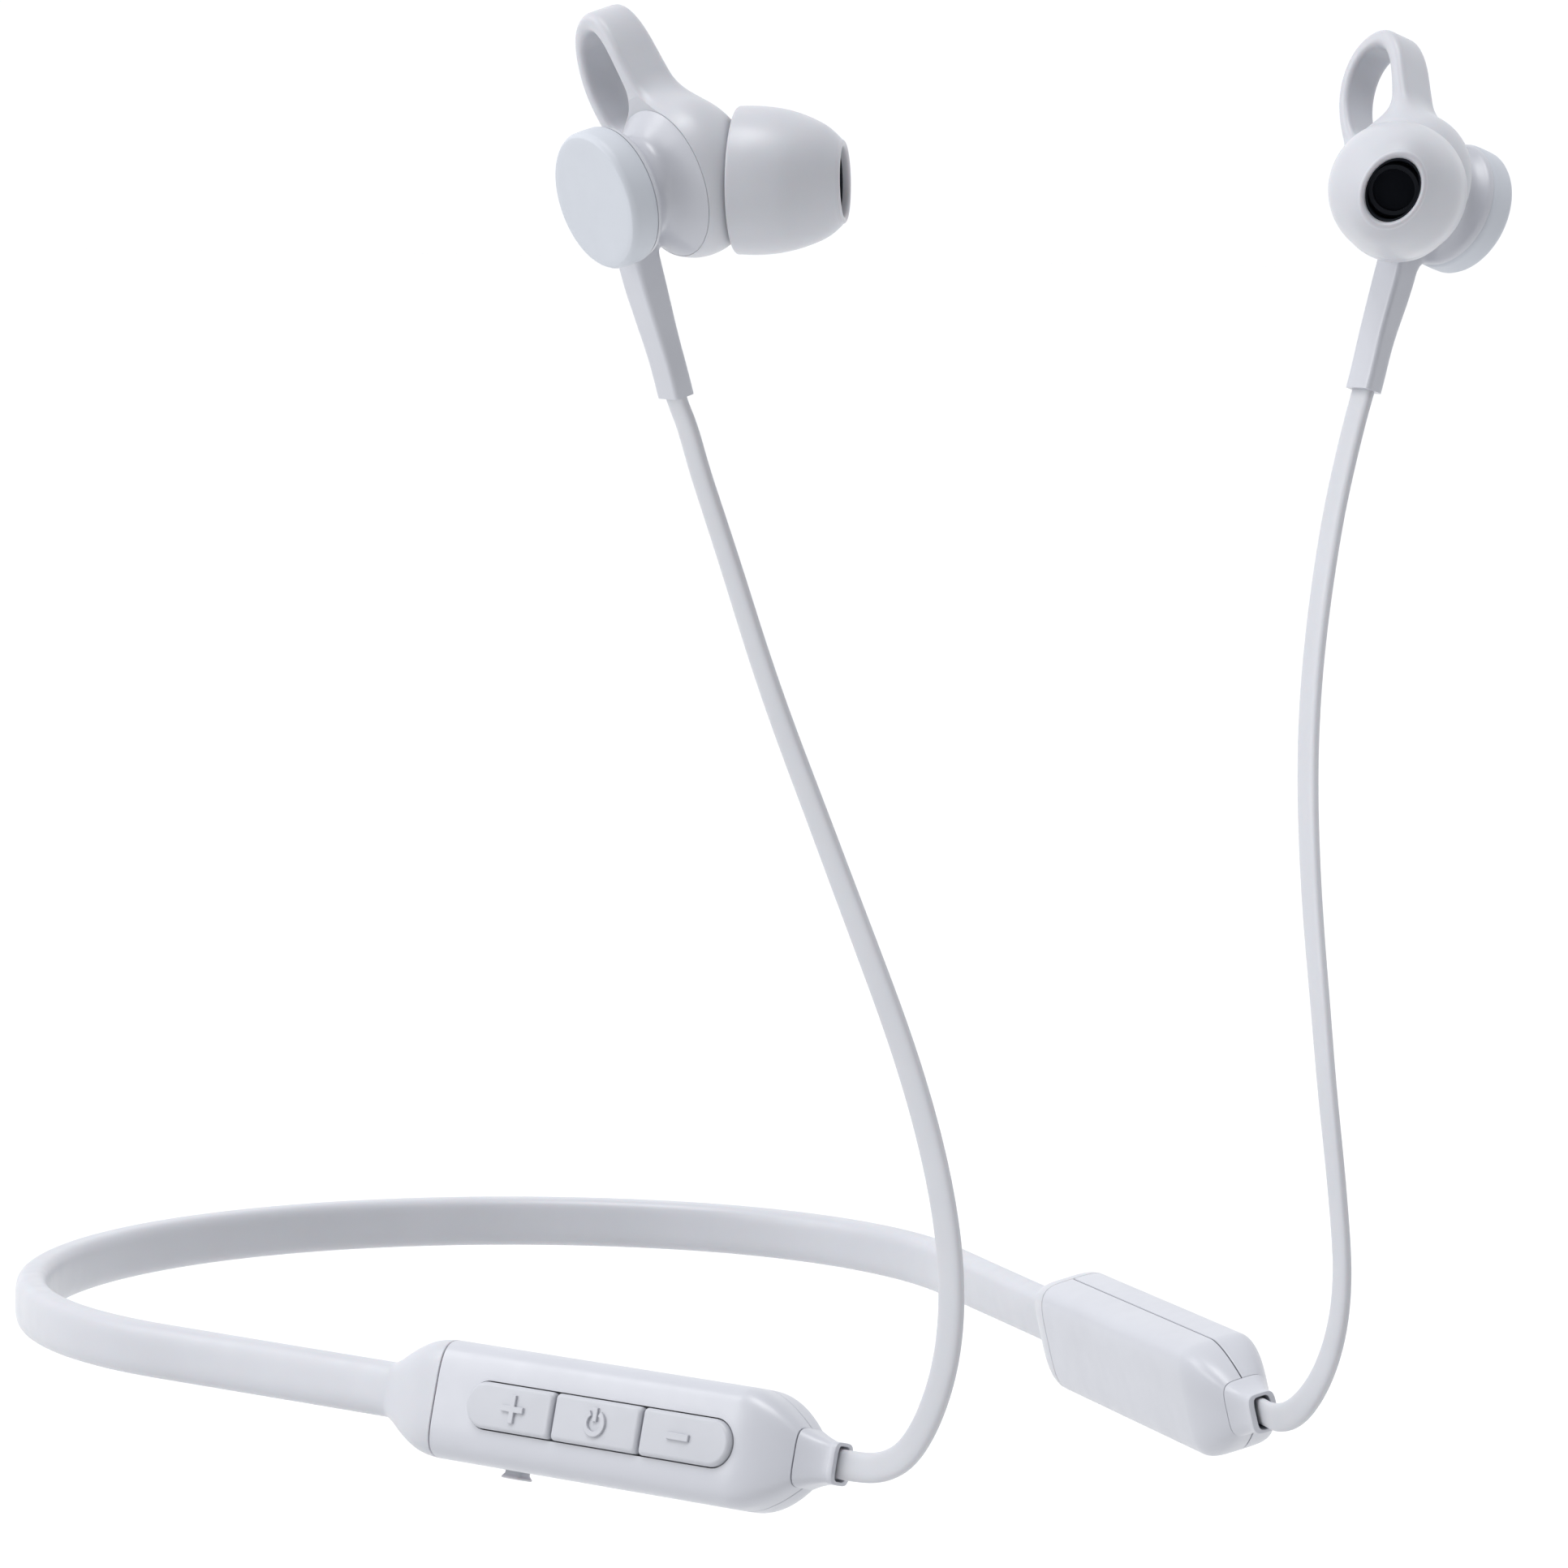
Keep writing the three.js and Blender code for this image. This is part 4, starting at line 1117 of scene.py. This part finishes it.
def nozzle_offset(points):
    """Distance along the nozzle's line, and off it with room for the sleeve to turn."""
    local = points - BULGE
    along = local @ NOZZLE
    off = local - along[:, None] * NOZZLE
    turning = unit(np.cross((1, 0, 0), NOZZLE))
    slide = off @ turning
    aside = np.linalg.norm(off - slide[:, None] * turning, axis=1)
    return along, np.hypot(aside, np.maximum(np.abs(slide) - TURN_ROOM, 0))


def sleeve_field(points):
    """The silicone sleeve with its wing, hollow, with a hole for the nozzle."""
    outside = smooth_union(bulge_field(points), strap_field(points), 2.3)
    hollow = bulge_field(points, SLEEVE_WALL)
    shell = np.maximum(outside, -hollow)
    along, off = nozzle_offset(points)
    hole = np.maximum(off - HOLE_RADIUS, HOLE_START - along)
    return smooth_cut(shell, hole, 0.35)


def make_sleeve(side):
    """The silicone sleeve, cut flat where it meets the rear housing."""
    points, faces = surface_of(sleeve_field, (3.4, -12.4, -9.2), (16.4, 9.4, 16.6), 0.22)
    points, faces = sliced(points, faces, (SLEEVE_START, 0, 0), (-1, 0, 0))
    made = piece(f"{side}_sleeve_and_wing", points, faces, SILICONE, BUD, side, 42)
    stand_in(made, f"{side}_wing", "satin_silicone", f"{side}_wing_sleeve")


def nozzle_place():
    """A frame with x down the nozzle and z as near the earbud's up as it can be."""
    along = NOZZLE @ BUD.axes
    up = unit(BUD.axes[2] - along * BUD.axes[2].dot(along))
    origin = BUD.out([BULGE])[0]
    return Place(origin, along, np.cross(up, along), up)


TIP = nozzle_place()


def oval_rings(profile, count):
    """Rings about x that go from round to the tall oval of the tip's mouth."""
    angle = np.linspace(0, 2 * math.pi, count, endpoint=False)
    rings = []
    for radius, x in profile:
        oval = smoothstep(x, TIP_OFFSET + 4.5, TIP_OFFSET + TIP_LENGTH)
        tilt = angle + math.radians(MOUTH_TILT)
        across = radius * (1 - 0.2 * oval) * np.cos(tilt)
        rise = radius * (1 + 0.03 * oval) * np.sin(tilt)
        back = -math.radians(MOUTH_TILT)
        rings.append(at_x(
            x,
            across * math.cos(back) - rise * math.sin(back),
            across * math.sin(back) + rise * math.cos(back)))
    return np.array(rings)


def make_tip(side):
    """The ear tip: a soft skirt that narrows to an oval mouth, and a dark liner in its bore that paints the shade
    deep in the mouth.
    """
    base, mouth = TIP_OFFSET, TIP_OFFSET + TIP_LENGTH
    skirt = spline([
        (TIP_RADIUS - 0.02, base + 0.5), (TIP_RADIUS, base + 1.6),
        (TIP_RADIUS - 0.1, base + 3.2), (TIP_RADIUS - 0.4, base + 4.9),
        (TIP_RADIUS - 1.0, base + 6.8), (TIP_RADIUS - 1.9, base + 8.5),
        (TIP_RADIUS - 2.66, base + TIP_LENGTH - 0.42),
    ], 34)
    thick = 0.5
    lip = arc((TIP_RADIUS - 3.16, mouth - 0.34), 0.34, 10, 175, 12)
    rim = arc((TIP_RADIUS - 0.27, base + 0.25), 0.25, -160, -10, 8)
    bore = [(TIP_RADIUS - 3.58, mouth - 0.7), (TIP_RADIUS - 3.58, mouth - 1.7),
            (NOZZLE_RADIUS + 0.9, mouth - 2.0), (NOZZLE_RADIUS + 1.0, base + 6.6)]
    inner = [(radius - thick, x) for radius, x in skirt[::-1] if x < base + 6.2]
    skin = ring_surface(oval_rings([*rim, *skirt, *lip, *bore, *inner], 120))
    made = piece(f"{side}_soft_tip", *skin, SILICONE, TIP, side, 50)
    stand_in(made, f"{side}_tip", "satin_silicone", f"{side}_ear_tip")
    # A dark liner inside the bore, starting below the mouth: painted shade for the dark deep in the mouth, not a
    # separate part of the silicone tip.
    shade_lining = ring_surface(oval_rings([
        (NOZZLE_RADIUS + 0.85, mouth - 2.1), (TIP_RADIUS - 3.6, mouth - 1.75),
        (TIP_RADIUS - 3.6, mouth - 0.75), (TIP_RADIUS - 3.68, mouth - 0.67),
        (TIP_RADIUS - 3.78, mouth - 0.75), (NOZZLE_RADIUS + 0.16, mouth - 2.2),
        (NOZZLE_RADIUS + 0.06, base + 3.0), (NOZZLE_RADIUS + 0.8, base + 2.8),
        (NOZZLE_RADIUS + 0.85, base + 3.6),
    ], 96))
    inside = piece(f"{side}_tip_shade_lining", *shade_lining, DARK_PAINTED_SHADE, TIP, side, 50)
    stand_in(inside, f"{side}_tip", "dark_mesh", f"{side}_ear_tip")


def make_nozzle(side):
    """The front housing's dome and nozzle in a dark plastic that also paints the shade inside the mouth, and the
    mesh across it.
    """
    reach = BULGE_HALF_DEPTH - SLEEVE_WALL - 0.3
    profile = [(reach * math.cos(t), 0.86 * reach * math.sin(t)) for t in np.linspace(0.42, 0.8, 10)]
    profile += [
        (NOZZLE_RADIUS + 0.04, 3.6), (NOZZLE_RADIUS, 6.4), (NOZZLE_RADIUS, 9.6),
        (NOZZLE_RADIUS - 0.3, 9.8), (NOZZLE_RADIUS - 0.3, 10.5), (NOZZLE_RADIUS, 10.7),
        (NOZZLE_RADIUS, NOZZLE_LENGTH - 0.25), (NOZZLE_RADIUS - 0.2, NOZZLE_LENGTH),
        (NOZZLE_RADIUS - 0.6, NOZZLE_LENGTH), (NOZZLE_RADIUS - 0.6, 2.6), (reach - 1.4, 2.0),
    ]
    # The dome and nozzle are dark plastic; their dark colour also paints the shade seen inside the mouth.
    made = piece(f"{side}_nozzle_dome", *turned(profile, 72), DARK_PAINTED_SHADE, TIP, side, 45)
    stand_in(made, f"{side}_bud", "satin_plastic", f"{side}_front_housing")
    depth = NOZZLE_LENGTH - 0.45
    disc = [(0.001, depth), (0.6, depth), (1.2, depth - 0.02), (NOZZLE_RADIUS - 0.62, depth - 0.05),
            (NOZZLE_RADIUS - 0.62, depth - 0.25), (0.001, depth - 0.25)]
    screen = piece(f"{side}_nozzle_screen", *turned(disc, 48), BLACK, TIP, side, 45)
    stand_in(screen, f"{side}_bud", "dark_mesh", f"{side}_nozzle_mesh")


for side in SIDES:
    make_cap(side)
    make_housing(side)
    make_sleeve(side)
    make_tip(side)
    make_nozzle(side)

paint_cad_nodes()

# ---------------------------- floor and light

FLOOR_DROP = 0.03
FLOOR_RADIUS = 12.0


def make_floor():
    """A wide, plain, pale disc below the earphones."""
    level = CAD_BOX[0].z - FLOOR_DROP
    angle = np.linspace(0, 2 * math.pi, 64, endpoint=False)
    points = np.stack([
        FLOOR_RADIUS * np.cos(angle), FLOOR_RADIUS * np.sin(angle), np.full(64, level)], -1)
    paint = Paint("pale_floor")
    paint.to("Base Color", paint.mix(paint.spread(paint.noise(3, 2), 0, 1),
                                     (0.775, 0.775, 0.77), (0.785, 0.785, 0.78)))
    paint.set(Roughness=0.9)
    floor = piece("floor", points / MM, [list(range(64))], paint.material)


def area_light(name, place, target, size, power):
    """A soft box at a place, turned to a target."""
    data = bpy.data.lights.new(name, "AREA")
    data.shape = "RECTANGLE"
    data.size, data.size_y = size
    data.energy = power
    lamp = bpy.data.objects.new(name, data)
    lamp.location = place
    lamp.rotation_euler = (Vector(target) - Vector(place)).to_track_quat("-Z", "Y").to_euler()
    bpy.context.scene.collection.objects.link(lamp)


def make_world():
    """A bright room beyond the earphones, darkest at the camera's side."""
    world = bpy.data.worlds.new("studio")
    bpy.context.scene.world = world
    world.use_nodes = True
    tree = world.node_tree
    direction = tree.nodes.new("ShaderNodeTexCoord").outputs["Generated"]
    facing = tree.nodes.new("ShaderNodeVectorMath")
    facing.operation = "DOT_PRODUCT"
    facing.inputs[1].default_value = unit((0.5, 0.8, 0.33))
    tree.links.new(direction, facing.inputs[0])
    level = tree.nodes.new("ShaderNodeMapRange")
    level.interpolation_type = "SMOOTHSTEP"
    ramp = {"From Min": -0.9, "From Max": 0.25, "To Min": 0.05, "To Max": 1.05}
    for name, value in ramp.items():
        level.inputs[name].default_value = value
    tree.links.new(facing.outputs["Value"], level.inputs["Value"])
    background = tree.nodes["Background"]
    background.inputs["Color"].default_value = (0.97, 0.98, 1.0, 1)
    tree.links.new(level.outputs["Result"], background.inputs["Strength"])


def make_light():
    """A soft sun overhead, and two soft boxes beyond the earphones, high and low on the left."""
    sun = bpy.data.lights.new("soft_sun", "SUN")
    sun.energy = 1.55
    sun.angle = math.radians(32)
    lamp = bpy.data.objects.new("soft_sun", sun)
    lamp.rotation_euler = Vector((0.38, 0.1, -1)).to_track_quat("-Z", "Y").to_euler()
    bpy.context.scene.collection.objects.link(lamp)
    centre = (0, -0.07, 0.05)
    area_light("high_box", (-0.8, 0.5, 0.7), centre, (0.22, 0.6), 2.6)
    area_light("side_box", (-0.95, 0.2, 0.3), centre, (0.4, 0.4), 1.7)
    bpy.context.scene.view_settings.view_transform = "Standard"


make_floor()
make_world()
make_light()
